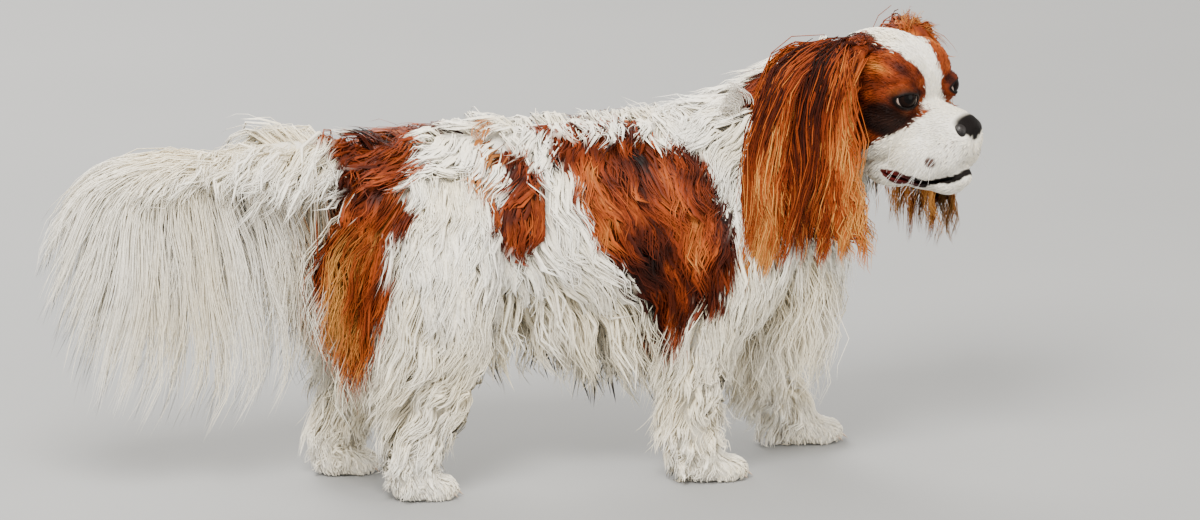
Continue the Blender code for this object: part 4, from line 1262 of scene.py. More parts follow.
class Groom:
    """Grows the coat of each part from one skin."""

    def __init__(self, skin, uv, surfaces):
        self.skin = Surface(skin.data)
        self.uv, self.surfaces = uv, surfaces
        self.material = coat_material("coat", 0.50, 0.0)

    def root_uv(self, roots):
        """Each root's place on the skin's map."""
        near, _, index, _ = self.skin.nearest(roots)
        a, b, c = (self.skin.corners[self.skin.triangles[index, k]] for k in range(3))
        v0, v1, v2 = b - a, c - a, near - a
        d00, d01, d11 = (v0 * v0).sum(1), (v0 * v1).sum(1), (v1 * v1).sum(1)
        d20, d21 = (v2 * v0).sum(1), (v2 * v1).sum(1)
        scale = np.maximum(d00 * d11 - d01 * d01, 1e-18)
        v = np.clip((d11 * d20 - d01 * d21) / scale, 0, 1)
        w = np.clip((d00 * d21 - d01 * d20) / scale, 0, 1)
        weights = np.stack([1 - v - w, v, w], 1)
        return (self.uv[index] * weights[..., None]).sum(1)

    def roots(self, part, count, draw, most_away=0.0035):
        """Even roots on the skin over one part, with their normals."""
        points, faces = self.surfaces[part].scatter(count, draw)
        near, normal, _, away = self.skin.nearest(points)
        keep = (away < most_away) & (dot(normal, faces)[:, 0] > 0.3) & (near[:, 2] > 0.002)
        return near[keep], normal[keep]

    def grow(self, name, part, paths, outs, half_width, slot, tint=None, draw=None, soft=SOFT, vary=0.11):
        """Colours the hairs by the markings that they pass, and weaves them."""
        count, points, _ = paths.shape
        t = np.linspace(0, 1, points)
        passed = sample(paths, np.broadcast_to(0.25 + 0.65 * t, (count, points)))
        stray = np.repeat(draw.normal(0, 0.0030, count), points)
        colours = colour_of(part, passed.reshape(-1, 3), stray).reshape(count, points, 3)
        red = np.clip(1 - colours[..., 2:] / 0.5, 0, 1)
        shade = 1.0 - (1 - smooth(0.0, 0.75, t))[None, :, None] * (ROOT_SHADE + (0.42 - ROOT_SHADE) * red)
        colours = colours * shade * draw.normal(1.0, 0.04 + vary * red.mean(1), (count, 1))[:, None]
        if tint is not None:
            colours = tint(colours, t)
        colours = np.clip(colours, 0.001, 0.97)
        half_width = np.broadcast_to(half_width, count) * draw.uniform(0.75, 1.2, count)
        soft = np.broadcast_to(soft, count)
        weave(name, paths, outs, half_width, colours, self.root_uv(paths[:, 0]), self.material, soft)

    def cover(self, name, part, kind, settings, slot, steps, seed, frizz=0.0010, depth=0.006, laid=SOFT):
        """A coat over one part: locks, tufts that follow them, and hairs that follow the tufts.

        kind picks the counts and the hair's width. settings gives each root its lie, the way
        that it hangs, length, rise, cling, wave and wavelength.
        """
        draw = np.random.default_rng(seed)
        locks, tufts, hairs, under = COUNTS[kind]
        roots, normals = self.roots(part, locks, draw)
        lie, hang, length, rise, cling, wave, wavelength = settings(roots, normals)
        length = length * draw.uniform(0.88, 1.15, len(roots))
        growth = (length, rise, cling, wave, wavelength, GUIDE_STEPS, draw)
        paths, outs = comb(self.skin, roots, normals, lie, hang, *growth)
        soft = np.where(np.broadcast_to(cling, len(roots)) >= 1, laid, SOFT_FREE)
        middle, _ = self.roots(part, tufts, draw)
        lock = owners(middle, roots)
        paths, outs = brood(paths, outs, middle, lock, 0.30, 2 * frizz, draw, GUIDE_STEPS, 0.85)
        children, _ = self.roots(part, hairs, draw)
        tuft = owners(children, middle)
        strands, sides = brood(paths, outs, children, tuft, 0.34, frizz, draw, steps, 0.72, depth, STRAY)
        self.grow(name, part, strands, sides, WIDTHS[kind], slot, draw=draw, soft=soft[lock][tuft])
        children, _ = self.roots(part, under, draw)
        tuft = owners(children, middle)
        strands, sides = brood(paths, outs, children, tuft, 0.2, frizz, draw, 3, 0.6, 0.2 * depth)
        strands = strands - sides * np.linspace(0, UNDER_SINK, strands.shape[1])[None, :, None]
        soft = soft[lock][tuft]
        self.grow(f"{name}_under", part, strands, sides, UNDER_WIDTH, slot, draw=draw, soft=soft)

    def curtain(self, name, part, guides, kind, settings, slot, draw, tint=None):
        """Long free hair in strands round guides: roots, tips, start, end and outward.

        kind picks the number and the width of the hairs. settings: wave, wavelength, spread of
        the roots, gathering, frizz and steps.
        """
        hairs = HAIRS[kind]
        roots, tips, start, end, outward = guides
        wave, wavelength, spread, clump, frizz, steps = settings
        phase = 3.0 * ripple(roots, 0.030, 37) + draw.uniform(-0.4, 0.4, len(roots))
        paths, outs = string(roots, tips, start, end, outward, wave, wavelength, GUIDE_STEPS, phase)
        owner = draw.integers(0, len(roots), hairs)
        children = roots[owner] + draw.normal(0, 1, (hairs, 3)) * np.array(spread)
        strands, sides = brood(paths, outs, children, owner, clump, frizz, draw, steps, 0.74)
        self.grow(name, part, strands, sides, WIDTHS[kind], slot, tint, draw, SOFT_FREE)


def flow(rows, flat):
    """A direction blended from a table's nearest rows: places first, directions last."""
    rows = np.array(rows, float)
    away = ((flat[:, None] - rows[None, :, :2]) ** 2).sum(-1) + 1e-6
    weights = away**-1.5
    weights /= weights.sum(1, keepdims=True)
    return weights @ rows[:, 2:]


def torso_lie(points, normals):
    run = flow(LIE, points[:, (0, 2)])
    swirl = 0.16 * ripple(points, 0.060, 41)
    top = smooth(0.295, 0.325, points[:, 2])
    side = np.sign(points[:, 1]) * np.minimum(1, np.abs(points[:, 1]) / 0.02)
    under = smooth(0.3, 0.8, -normals[:, 2])
    way = ways(run[:, 0] + swirl, side * (0.9 * top - 0.3 * under), run[:, 1])
    return way - under[:, None] * np.array((0.5, 0.0, 0.0))


def torso_settings(roots, normals):
    under = smooth(0.35, 0.75, -normals[:, 2])
    chest = smooth(0.150, 0.200, roots[:, 0])
    top = smooth(0.295, 0.322, roots[:, 2])
    flank = smooth(0.230, 0.180, roots[:, 2])
    length = 0.066 - 0.026 * top + 0.010 * flank + 0.010 * under + 0.016 * chest
    rise = 0.0145 - 0.0010 * top - 0.004 * under
    cling = np.where((under > 0.1) | (chest > 0.3) | (flank > 0.7), 0.45, 1.0)
    hang = unit(np.array((0.10, 0.0, -1.0)))
    return torso_lie, hang, length, rise, cling, 0.0060, 0.050


def neck_settings(roots, normals):
    front = smooth(-0.1, 0.5, normals[:, 0] * 0.8 - normals[:, 2] * 0.5)
    length = 0.055 + 0.022 * front
    hang = unit(np.array((0.1, 0.0, -1.0)))

    def lie(points, face):
        before = smooth(-0.1, 0.5, face[:, 0] * 0.8 - face[:, 2] * 0.5)
        way = ways(-0.8 + 0.85 * before, 0.2 * face[:, 1], -0.9 - 0.3 * before)
        way[:, 0] += 0.15 * ripple(points, 0.050, 43)
        return way

    return lie, hang, length, 0.0165, np.where(front > 0.5, 0.5, 1.0), 0.0046, 0.052


def foreleg_settings(roots, normals):
    behind = smooth(0.15, 0.6, -normals[:, 0])
    high = smooth(0.10, 0.20, roots[:, 2])
    length = 0.022 + 0.034 * high + 0.028 * behind * smooth(0.035, 0.09, roots[:, 2])
    rise = 0.0045 + 0.0065 * smooth(0.018, 0.045, roots[:, 2]) + 0.0020 * high

    def lie(points, face):
        back = smooth(0.1, 0.6, -face[:, 0])
        return ways(-0.10 - 0.5 * back + 0.14 * ripple(points, 0.04, 45), 0.0, -1.0)

    hang = unit(np.array((-0.15, 0.0, -1.0)))
    return lie, hang, length, rise, np.where(behind > 0.4, 0.35, 1.0), 0.0030, 0.045


def hindleg_settings(roots, normals):
    behind = smooth(0.15, 0.6, -normals[:, 0])
    high = smooth(0.12, 0.20, roots[:, 2])
    shank = smooth(0.035, 0.070, roots[:, 2]) * (1 - high)
    length = 0.014 + 0.044 * high + 0.016 * shank + behind * (0.038 * high + 0.026 * shank)
    rise = 0.0045 + 0.0060 * smooth(0.018, 0.045, roots[:, 2]) + 0.0025 * high

    def lie(points, face):
        back = smooth(0.1, 0.6, -face[:, 0])
        middle = np.exp(-(((points[:, 2] - 0.105) / 0.028) ** 2))
        run = -0.25 - 0.25 * back - 1.0 * middle + 0.22 * ripple(points, 0.055, 47)
        return ways(run, 0.0, -1.0 + 0.4 * middle)

    hang = unit(np.array((-0.12, 0.0, -1.0)))
    return lie, hang, length, rise, np.where(behind > 0.4, 0.35, 1.0), 0.0050, 0.050


def grow_body(groom):
    """The coat of trunk, neck and legs."""
    groom.cover("coat_torso", "torso", "torso", torso_settings, "body_coat", 5, 1, 0.0014)
    groom.cover("coat_neck", "neck", "neck", neck_settings, "body_coat", 5, 2, 0.0013)
    for k, side in enumerate(("right", "left")):
        for leg, settings, seed in (("foreleg", foreleg_settings, 3), ("hindleg", hindleg_settings, 5)):
            name = f"{leg}_{side}"
            looks = {"depth": 0.003, "laid": 0.35}
            groom.cover(f"coat_{name}", name, leg, settings, "body_coat", 4, seed + k, **looks)


def grow_fringes(groom):
    """The long hair that hangs from the brisket and from behind the thighs."""
    draw = np.random.default_rng(50)
    count = 170
    roots, normals = groom.roots("torso", 9000, draw)
    low = (roots[:, 0] > 0.115) & (roots[:, 2] < 0.205) & (np.abs(roots[:, 1]) < 0.050)
    roots, normals = roots[low][:count], normals[low][:count]
    rows = len(roots)
    deep = draw.uniform(0.055, 0.115, rows)
    tips = ways(roots[:, 0] * 0.80 + 0.040 + draw.normal(0, 0.006, rows), roots[:, 1] * 1.05, deep)
    start = unit(normals + DOWN * 0.8 + np.array((0.5, 0, 0)))
    end = unit(ways(draw.normal(-0.1, 0.35, rows), 0.0, -1.0))
    out = unit(ways(0.4, np.sign(roots[:, 1] - 0.004), 0.0))
    groom.curtain(
        "coat_brisket", "torso", (roots, tips, start, end, out), "fringe",
        (0.0065, 0.048, (0.005, 0.005, 0.004), 0.45, 0.0024, 6), "body_coat", draw,
    )
    count = 210
    side = np.where(draw.random(count) < 0.5, -1.0, 1.0)
    high = draw.uniform(0.0, 1.0, count)
    fore = -0.216 + 0.030 * high - 0.012 * draw.random(count)
    roots = ways(fore, side * draw.uniform(0.010, 0.062, count), 0.255 - 0.075 * high)
    near, normals, _, _ = groom.skin.nearest(roots)
    aft = -0.020 - 0.022 * draw.random(count)
    tips = near + ways(aft, 0.004 * side, -draw.uniform(0.085, 0.130, count))
    start = unit(normals * 0.8 + np.array((-0.6, 0, -0.5)))
    end = unit(ways(draw.normal(0.12, 0.25, count), 0.0, -1.0))
    out = unit(ways(-0.5, side, 0.0))
    groom.curtain(
        "coat_trousers", "torso", (near, tips, start, end, out), "fringe",
        (0.0050, 0.060, (0.005, 0.005, 0.005), 0.45, 0.0020, 6), "body_coat", draw,
    )


def grow_paws(groom):
    """The short coat of the paws, above their soles."""
    for k, name in enumerate(n for n in groom.surfaces if n.startswith("paw")):
        draw = np.random.default_rng(60 + k)
        roots, normals = groom.roots(name, HAIRS["paw"], draw)
        keep = roots[:, 2] > 0.005
        roots, normals = roots[keep], normals[keep]

        def lie(points, face):
            return np.broadcast_to((0.35, 0.0, -0.9), points.shape)

        length = 0.0060 + 0.010 * smooth(0.008, 0.030, roots[:, 2])
        growth = (length, 0.0028, 1.0, 0.0006, 0.02, 3, draw)
        paths, outs = comb(groom.skin, roots, normals, lie, DOWN, *growth)
        groom.grow(f"coat_{name}", name, paths, outs, WIDTHS["paw"], "paw", draw=draw, soft=0.35)


def face_lie(points, normals):
    h = to_head(points)
    side = np.sign(h[:, 1])
    run = flow(FACE_LIE, h[:, (0, 2)])
    run[:, 1] *= side * np.minimum(1.0, np.abs(h[:, 1]) / 0.008)
    return run @ HEAD_AXES.T


def grow_head(groom):
    """The short coat of face and skull, shortest at the lids, and clear of lips and nose."""
    draw = np.random.default_rng(80)
    roots, normals = groom.roots("head", HAIRS["head"], draw, 0.002)
    h = to_head(roots)
    eye = nearest_eye(h)
    lips = lip_distance(h)
    keep = (eye > 0.0022) & (lips > 0.0006) & (pad_reach(h, 0.0012) > 1.0)
    keep &= draw.random(len(h)) < np.where(h[:, 0] < -0.02, 0.6, 1.0)
    roots, normals, h, eye, lips = roots[keep], normals[keep], h[keep], eye[keep], lips[keep]
    back = smooth(0.045, -0.03, h[:, 0])
    length = 0.0048 + 0.0075 * back + 0.004 * smooth(-0.05, -0.085, h[:, 2])
    length *= 0.40 + 0.60 * smooth(0.002, 0.010, eye)
    above = (h[:, 2] > height_on(MOUTH, h[:, 0])) & (h[:, 0] > 0.008)
    length = np.where(above, np.minimum(length, 0.0005 + 0.70 * np.maximum(lips, 0)), length)
    rise = 0.0008 + 0.0022 * back
    growth = (length, rise, 1.0, 0.0004, 0.02, 3, draw)
    paths, outs = comb(groom.skin, roots, normals, face_lie, DOWN, *growth)
    half_width = 0.00036 + 0.00018 * back
    groom.grow("coat_head", "head", paths, outs, half_width, "head_coat", draw=draw, soft=0.40, vary=0.22)


def grow_ear(groom, side):
    """Long wavy feathering in locks over both faces of the leather, gold towards its ends."""
    name = "ear_right" if side < 0 else "ear_left"
    draw = np.random.default_rng(90 + side)
    count, hairs = 480, EAR_HAIRS[side]
    rearward, outward = (np.array(v) for v in ear_axes(side))
    table = through(EAR, 101)
    share = draw.uniform(0.0, 0.97, count)
    share[: count // 4] *= 0.35
    front_edge = np.interp(share, (0.0, 0.40, 0.75), (0.00, -0.30, -0.85))
    behind = draw.random(count)
    u = front_edge + (0.98 - front_edge) * behind
    face = np.where(draw.random(count) < 0.20, -1.0, 1.0)[:, None]
    # Each lock gathers the hairs near its own middle, and has its own length, wave and tone.
    lock = np.clip(((u + 0.10 * np.sin(9 * share) + 1.1) / 2.2 * EAR_LOCKS).astype(int), 0, EAR_LOCKS - 1)
    layer = (share * 3).astype(int).clip(0, 2) + 3 * (face[:, 0] < 0)
    middle_u = (np.arange(EAR_LOCKS) + 0.5) / EAR_LOCKS * 2.2 - 1.1
    own = draw.uniform(-1, 1, (EAR_LOCKS, 6, 3))[lock, layer]
    row = table[np.round(100 * share).astype(int)]
    roots = row[:, :3] * np.array((1, side * EAR_OUT[side], 1)) + rearward * (row[:, 3] * u)[:, None]
    roots = roots + outward * (row[:, 5] * (1 - u**2))[:, None]
    roots = roots + outward * face * (row[:, 4] * 0.6)[:, None]
    low = np.interp(share, (0.0, 0.3, 0.7, 1.0), (-0.075, -0.125, -0.150, -0.160))
    tip_z = low + 0.014 * own[:, 0] + draw.normal(0, 0.005, count)
    tip_z += 0.010 * np.maximum(-u, 0) - 0.004 * np.maximum(u, 0)
    tip_z = np.clip(tip_z, -0.170, roots[:, 2] - 0.035)
    tip_u = u + 0.70 * (middle_u[lock] - u)
    tip_u = tip_u + 0.55 * (2 * behind - 1 - tip_u) * smooth(0.6, 0.0, share)
    tip_u = np.where(tip_u < 0, 1.30 * tip_u, 1.10 * tip_u)
    fan = np.interp(-tip_z, (0.03, 0.09, 0.16), (0.045, 0.056, 0.060))
    tips = ways(EAR[-1][0], side * EAR_OUT[side] * EAR[-1][1], tip_z)
    clear = 0.022 * smooth(0.0, 0.8, u) * smooth(-0.06, -0.12, tip_z) if side < 0 else 0.0
    outer = (0.003 + 0.012 * (1 - share) + 0.003 * own[:, 1] + clear)[:, None] * face
    tips = tips + rearward * (fan * tip_u)[:, None] + outward * outer
    rooty = smooth(0.35, 0.0, share)[:, None]
    lift = 0.3 + 1.0 * rooty if side < 0 else 0.1 + 0.35 * rooty
    back, fore = np.maximum(u, 0)[:, None], np.minimum(u, 0)[:, None]
    start = DOWN * (1 - 1.5 * rooty) + outward * face * lift
    start = unit(start + rearward * (back * (0.9 + 1.6 * rooty) + fore * 0.05))
    start *= 0.9 + 0.9 * rooty * back if side < 0 else 0.6
    end = unit(DOWN + rearward * (0.25 * own[:, 2])[:, None])
    out = np.broadcast_to(outward, roots.shape) * face
    phase = 3.0 * own[:, 2] + draw.uniform(-0.3, 0.3, count)
    near_front = smooth(0.1, -0.7, u)
    wave, wavelength = 0.0036 + 0.0022 * near_front, 0.070 - 0.030 * near_front
    paths, outs = string(roots, tips, start, end, out, wave, wavelength, GUIDE_STEPS, phase, 0.004)
    arc = np.sin(math.pi * np.linspace(0, 1, GUIDE_STEPS + 1)) * 0.007
    bent = np.where(u < -0.3, np.abs(own[:, 0]), own[:, 0])
    paths = paths + rearward * (arc[None] * bent[:, None])[..., None]
    owner = draw.integers(0, count, hairs)
    spread = rearward * draw.normal(0.001, 0.0034, (hairs, 1))
    spread = spread + out[owner] * draw.normal(0, 0.0014, (hairs, 1))
    spread[:, 2] += draw.normal(0, 0.005, hairs)
    strands, sides = brood(paths, outs, roots[owner] + spread, owner, 0.62, 0.0013, draw, 7, 0.80)
    streak = draw.random(hairs)
    tone_own, across, place_s = own[owner, 1], behind[owner], share[owner]
    front, rear = smooth(0.30, 0.08, across), smooth(0.60, 0.85, across)

    def tint(colours, t):
        dark = -0.6
        if side < 0:
            middle = np.exp(-(((across - 0.44) / 0.15) ** 2))
            dark = middle * (0.9 + 0.8 * smooth(0.7, 0.3, place_s))
        tone = 1.1 * tone_own - dark + 0.9 * front - 0.2 + draw.normal(0, 0.25, hairs)
        ends = (0.9 + 0.7 * rear + 0.5 * front)[:, None] * smooth(0.45, 0.90, t)[None]
        along = tone[:, None] + ends - 0.45 * smooth(0.35, 0.0, t)[None]
        along += np.where(streak > 0.84, 1.5, 0.0)[:, None] * smooth(0.15, 0.5, t)[None]
        return toned(along)

    soft = np.where(face[owner, 0] > 0, 0.45, SOFT_FREE)
    strands, sides = from_head(strands), sides @ HEAD_AXES.T
    groom.grow(f"coat_{name}", name, strands, sides, WIDTHS["ear"], "ear_coat", tint, draw, soft)

    def settings(roots, normals):
        def lie(points, face):
            return np.broadcast_to(np.array((-0.3, 0.9 * side, -0.8)) @ HEAD_AXES.T, points.shape)

        return lie, DOWN, np.full(len(roots), 0.024), 0.0040, 0.8, 0.0016, 0.030

    groom.cover(f"coat_base_{name}", name, "ear_base", settings, "ear_coat", 4, 95 + side, depth=0.001)


def grow_wisps(groom):
    """Wisps over the skull at the far ear, and curls at the nape behind the near one."""
    draw = np.random.default_rng(110)
    count = 60
    a = draw.random(count)
    roots = from_head(ways(-0.006 - 0.014 * a, 0.84 * (0.030 + 0.045 * a), 0.034 - 0.004 * a))
    tips = ways(-0.010 + draw.uniform(-0.015, 0.015, count), 0.045 + 0.035 * a, 0.054 - 0.044 * a**1.3)
    tips = from_head(tips + draw.normal(0, 0.003, (count, 3)))
    start = np.tile(np.array((-0.2, 0.3, 1.0)) @ HEAD_AXES.T, (count, 1))
    end = np.tile(np.array((-0.3, 1.0, -0.8)) @ HEAD_AXES.T, (count, 1))
    out = np.tile(np.array((0.3, 0.9, 0.3)) @ HEAD_AXES.T, (count, 1))

    def golden(colours, t):
        return toned(draw.normal(0.8, 0.5, len(colours))[:, None] + 0.9 * t[None])

    groom.curtain(
        "coat_crest", "ear_left", (roots, tips, start, end, unit(out)), "crest",
        (0.0014, 0.030, (0.0030, 0.0030, 0.0015), 0.35, 0.0022, 5), "ear_coat", draw, golden,
    )
    count = 26
    a = draw.random(count)
    roots = ways(0.118 + 0.014 * a, -0.012 - 0.020 * draw.random(count), 0.322 + 0.014 * a)
    tips = ways(0.106 + 0.012 * a, roots[:, 1] - 0.010, 0.330 + 0.024 * a)
    start = np.tile(np.array((-0.3, -0.2, 1.0)), (count, 1))
    end = np.tile(np.array((-0.9, -0.2, -0.5)), (count, 1))
    out = np.tile(np.array((-0.3, -0.9, 0.3)), (count, 1))

    def curled(colours, t):
        return np.broadcast_to(GREY_CREAM, colours.shape) * draw.normal(1.0, 0.12, (len(colours), 1, 1))

    groom.curtain(
        "coat_nape", "neck", (roots, tips, start, end, unit(out)), "nape",
        (0.0030, 0.026, (0.003, 0.003, 0.002), 0.50, 0.0012, 7), "body_coat", draw, curled,
    )


def grow_tail(groom):
    """The plume: long hair that sweeps back from the tail and hangs."""
    draw = np.random.default_rng(100)
    count, hairs = 420, HAIRS["plume"]
    shares, tips_x, tips_z = np.array(PLUME_TIPS).T
    share = draw.random(count) ** 0.9
    layer = draw.uniform(-1, 1, count)
    lock = np.round(share * PLUME_LOCKS + 0.6 * layer) / PLUME_LOCKS
    table = through(TAIL, 201)
    rooted = np.interp(share, (0.0, 0.25, 0.5, 1.0), (0.10, 0.42, 0.62, 0.80))
    roots = table[np.round(200 * rooted).astype(int), :3]
    roots = roots + ways(0.0, 0.006 * layer, 0.002)
    aim = np.clip(share + 0.5 * (lock - share), 0, 1)
    ends = ways(np.interp(aim, shares, tips_x), 0.0, np.interp(aim, shares, tips_z))
    full = draw.random(count) < 0.62
    reach = np.where(full, draw.uniform(0.84, 1.03, count), draw.uniform(0.45, 0.84, count))
    tips = roots + (ends - roots) * reach[:, None]
    tips[:, 1] = 0.014 * layer + draw.normal(0, 0.004, count)
    start = ways(-1.30, 0.35 * layer, 0.05 + 0.40 * smooth(0.3, 0.6, share))
    end = ways(np.interp(share, (0.0, 0.6, 1.0), (-0.75, -0.70, -0.15)), 0.0, -1.05)
    out = unit(ways(0.0, np.where(layer < 0, -1.0, 1.0), 0.25))
    phase = 2.5 * ripple(ways(lock, 0.0, layer), 0.5, 35)
    paths, outs = string(roots, tips, start, end, out, 0.0036, 0.110, GUIDE_STEPS, phase)
    owner = draw.integers(0, count, hairs)
    spread = draw.normal(0, 1.0, (hairs, 3)) * np.array((0.007, 0.0030, 0.003))
    strands, sides = brood(paths, outs, roots[owner] + spread, owner, 0.50, 0.0026, draw, 7, 0.70)
    beside = 0.65 * smooth(0.20, 0.08, share)[owner] * (draw.random(hairs) < 0.6)

    def tint(colours, t):
        return mix(colours, GREY_GOLD[None, None], beside[:, None] * smooth(0.0, 0.3, t)[None])

    groom.grow("coat_plume", "tail", strands, sides, WIDTHS["plume"], "body_coat", tint, draw, SOFT_FREE)

    def settings(roots, normals):
        def lie(points, face):
            return ways(-0.9, 1.5 * face[:, 1], -0.35)

        hang = unit(np.array((-0.45, 0.0, -1.0)))
        hump = np.exp(-(((roots[:, 0] + 0.268) / 0.036) ** 4))
        length = 0.040 + 0.026 * hump
        rise = 0.006 + 0.024 * hump
        return lie, hang, length, rise, 0.55, 0.0050, 0.034

    groom.cover("coat_dock", "tail", "dock", settings, "body_coat", 6, 101, 0.0022)


# Eyes, nose, whiskers and claws


def make_eyes():
    """Balls with a raised cornea, coloured by the angle from where each eye looks."""
    material = eye_material()
    for name, side in (("eye_right", -1), ("eye_left", 1)):
        gaze = Vector((math.cos(GAZE_OUT), side * math.sin(GAZE_OUT), GAZE_UP)).normalized()
        eye = ball("eyeball", (0, 0, 0), (1, 1, 1), 64, 40)
        corners = corners_of(eye.data)
        angle = np.arccos(np.clip(corners @ np.array(gaze), -1, 1)) / (math.pi / 2)
        bulge = 1.0 + 0.055 * np.exp(-((angle / 0.42) ** 4))
        placed = corners * (EYE_RADIUS * bulge)[:, None] + np.array(EYE_PLACE) * np.array((1, side, 1))
        eye.data.vertices.foreach_set("co", placed.ravel())
        give(eye.data, "gaze", "FLOAT", "value", angle.astype(np.float32))
        set_in_head(eye)
        eye.name = f"{name}_ball"
        dress(eye, material)
        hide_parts(name)


def make_nose():
    """The pad with its wings, nostrils and middle groove."""
    x, _, z = NOSE_PLACE
    forms = [
        ball("pad", (x - 0.001, 0, z), (0.0136, 0.0152, 0.0124)),
        ball("top", (x - 0.004, 0, z + 0.0046), (0.0118, 0.0134, 0.0086)),
        ball("foot", (x + 0.003, 0, z - 0.0086), (0.0078, 0.0070, 0.0074)),
    ]
    for side in (-1, 1):
        forms.append(ball("wing", (x + 0.0020, side * 0.0106, z - 0.0005), (0.0096, 0.0070, 0.0094)))
    nose = melt("nose_pad", forms, 0.0007, 4)
    for side in (-1, 1):
        hole = ball("hole", (x + 0.0100, side * 0.0078, z - 0.0010), (0.0110, 0.0036, 0.0040))
        combine(nose, hole, "DIFFERENCE")
    combine(nose, ball("groove", (x + 0.0150, 0, z - 0.006), (0.0042, 0.0010, 0.0105)), "DIFFERENCE")
    nose = melt("nose_pad", [nose], 0.0006, 2)
    set_in_head(nose)
    dress(nose, nose_material())
    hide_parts("nose")


def make_whiskers(groom):
    """Rows of fine whiskers on both sides of the muzzle, and a few at the chin."""
    draw = np.random.default_rng(120)
    rows = []
    for side in (-1, 1):
        for row, height in enumerate((-0.038, -0.046, -0.054, -0.062)):
            for k in range(6 if row < 2 else 3):
                rows.append((0.082 - 0.0075 * k, side * 0.05, height, 0.026 + 0.005 * k))
        for k in range(4):
            rows.append((0.030 + 0.010 * k, side * 0.03, -0.092, 0.020))
    rows = np.array(rows)
    rows[:, :3] += draw.normal(0, 0.0012, (len(rows), 3))
    roots, normals, _, _ = groom.skin.nearest(from_head(rows[:, :3]))
    side = np.sign(rows[:, 1])
    lean = draw.normal(0, 0.16, (2, len(rows)))
    start = ways(0.15 + lean[0], 0.9 * side, -0.25 + lean[1]) @ HEAD_AXES.T
    end = ways(-0.45 + 2 * lean[0], 0.35 * side, -0.9 + lean[1]) @ HEAD_AXES.T
    length = (rows[:, 3] * draw.uniform(0.8, 1.2, len(rows)))[:, None]
    tips = roots + unit(start + end) * length
    paths, outs = string(roots - normals * 0.001, tips, unit(start), unit(end), normals, 0.0, 0.05, 7, 0.0)
    colours = np.broadcast_to(np.array((0.92, 0.90, 0.86)), (*paths.shape[:2], 3)).copy()
    width = np.full(len(rows), WIDTHS["whisker"])
    material = coat_material("whisker", 0.35, 0.0)
    root_uv = groom.root_uv(roots)
    weave("whiskers", paths, outs, width, colours, root_uv, material, width * 0)


def make_claws(tables):
    """Short curved claws under the tips of the toes."""
    points, sides = 7, 8
    bm = bmesh.new()
    for rows in tables.values():
        foot_x, foot_y = rows[-1][0], rows[-1][1]
        for reach, spread in zip(TOE_REACH, TOE_SPREAD):
            middle = Vector((foot_x + PAW_REACH + reach + 0.0060, foot_y + spread, 0.0078))
            rings = []
            for k in range(points):
                t = k / (points - 1)
                centre = middle + Vector((0.0098 * t, 0, -0.0060 * t * t)) + ORIGIN_SHIFT
                size = 0.0014 * (1 - t) ** 0.6 + 0.0001
                rings.append([
                    bm.verts.new(centre + Vector((0, size * math.cos(a), 1.3 * size * math.sin(a))))
                    for a in (2 * math.pi * j / sides for j in range(sides))
                ])
            for near, far in zip(rings, rings[1:]):
                for j in range(sides):
                    bm.faces.new((near[j], near[(j + 1) % sides], far[(j + 1) % sides], far[j]))
            bm.faces.new(rings[0])
            bm.faces.new(rings[-1][::-1])
    bmesh.ops.recalc_face_normals(bm, faces=bm.faces)
    claws = built("claws", bm)
    claws.data.shade_smooth()
    horn = cloudy_material("claw_horn", 260.0, (0.30, 0.20, 0.14), (0.62, 0.50, 0.40), 0.35)
    dress(claws, horn)


# The whole


def part_of(points, surfaces):
    """The nearest part to each point."""
    names = list(surfaces)
    away = np.stack([surfaces[name].nearest(points)[3] for name in names])
    return np.array(names)[away.argmin(0)]


def paint_skin(skin, surfaces):
    """Gives the skin the coat's markings, a little darker as painted shade under the coat."""
    corners = corners_of(skin.data)
    parts = part_of(corners, surfaces)
    colours = np.ones((len(corners), 4), np.float32)
    for part in surfaces:
        rows = parts == part
        if rows.any():
            colours[rows, :3] = colour_of(part, corners[rows], np.zeros(rows.sum())) * 0.80
    give(skin.data, "coat_colour", "FLOAT_COLOR", "color", colours)


def make_floor():
    half = 14.0
    mesh = bpy.data.meshes.new("floor")
    corners = [(-half, -half, 0), (half, -half, 0), (half, half, 0), (-half, half, 0)]
    mesh.from_pydata(corners, [], [(0, 1, 2, 3)])
    floor = link("floor", mesh)
    grey = cloudy_material("studio_floor", 3.0, (0.27, 0.275, 0.28), (0.30, 0.305, 0.31), 0.85)
    floor.data.materials.append(grey)


def area_light(name, place, target, size, power, colour):
    data = bpy.data.lights.new(name, "AREA")
    data.shape = "DISK"
    data.size = size
    data.energy = power
    data.color = colour
    lamp = bpy.data.objects.new(name, data)
    bpy.context.scene.collection.objects.link(lamp)
    lamp.location = place
    lamp.rotation_mode = "QUATERNION"
    lamp.rotation_quaternion = (Vector(target) - Vector(place)).to_track_quat("-Z", "Y")


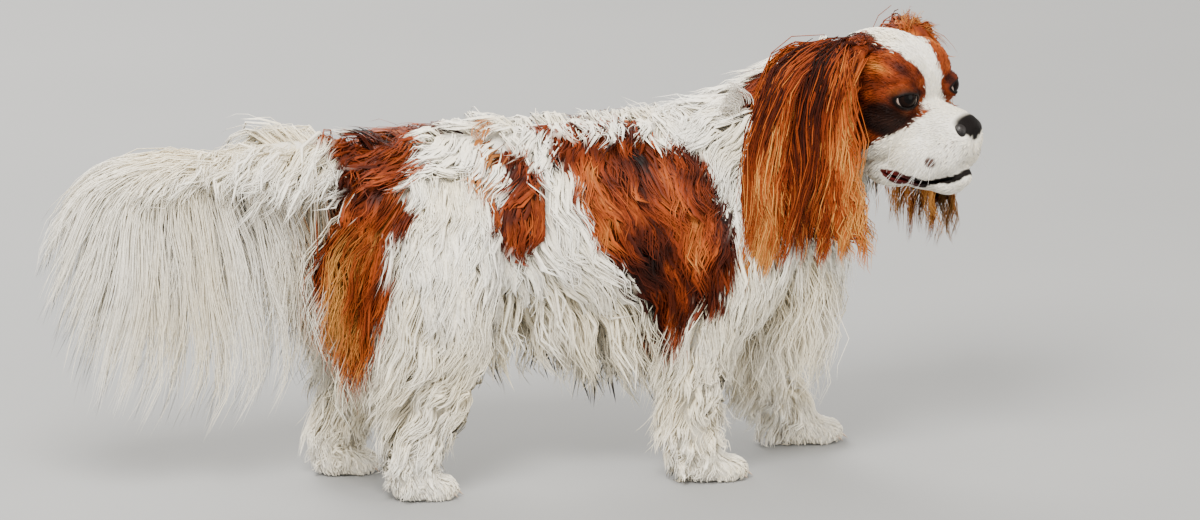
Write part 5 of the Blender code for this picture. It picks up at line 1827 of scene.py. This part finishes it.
def light_scene():
    middle = (0.05, 0.0, 0.22)
    area_light("key", (-0.9, -1.9, 2.6), middle, 1.3, 200.0, (1.0, 0.965, 0.90))
    area_light("fill", (2.2, -2.0, 1.1), middle, 2.2, 45.0, (1.0, 0.97, 0.92))
    area_light("rim", (-0.4, 2.2, 1.9), middle, 1.6, 90.0, (1.0, 0.97, 0.92))
    world = bpy.data.worlds.new("studio")
    world.use_nodes = True
    shade = world.node_tree.nodes["Background"]
    shade.inputs["Color"].default_value = (1.0, 0.965, 0.90, 1.0)
    shade.inputs["Strength"].default_value = 1.35
    bpy.context.scene.world = world


def make_camera():
    """The photograph's view: a little behind square to the dog's side, and above it."""
    azimuth, elevation, away = math.radians(-14.0), math.radians(15.0), 20.0
    aim = Vector((0.0185, 0.0454, 0.1812)) + ORIGIN_SHIFT
    back = Vector((
        math.sin(azimuth) * math.cos(elevation),
        -math.cos(azimuth) * math.cos(elevation),
        math.sin(elevation),
    ))
    data = bpy.data.cameras.new("camera")
    data.lens = 676.0
    data.sensor_width = 36.0
    camera = bpy.data.objects.new("camera", data)
    bpy.context.scene.collection.objects.link(camera)
    camera.location = aim + back * away
    camera.rotation_mode = "QUATERNION"
    camera.rotation_quaternion = (-back).to_track_quat("-Z", "Y")
    bpy.context.scene.camera = camera


def main():
    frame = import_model()
    make_camera()
    make_floor()
    light_scene()

    skin, surfaces, tables = make_skin()
    uv = unwrap(skin)
    paint_skin(skin, surfaces)
    groom = Groom(skin, uv, surfaces)
    skin.data.transform(Matrix.Translation(ORIGIN_SHIFT))
    skin.data.shade_smooth()
    dress(skin, coat_material("skin", 0.62, 0.6))
    separate = ("eye_right", "eye_left", "nose")
    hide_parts(*(name for name in frame["nodes"] if name not in separate))

    grow_body(groom)
    grow_fringes(groom)
    grow_paws(groom)
    grow_head(groom)
    for side in (-1, 1):
        grow_ear(groom, side)
    grow_wisps(groom)
    grow_tail(groom)
    make_eyes()
    make_nose()
    make_whiskers(groom)
    make_claws(tables)


main()
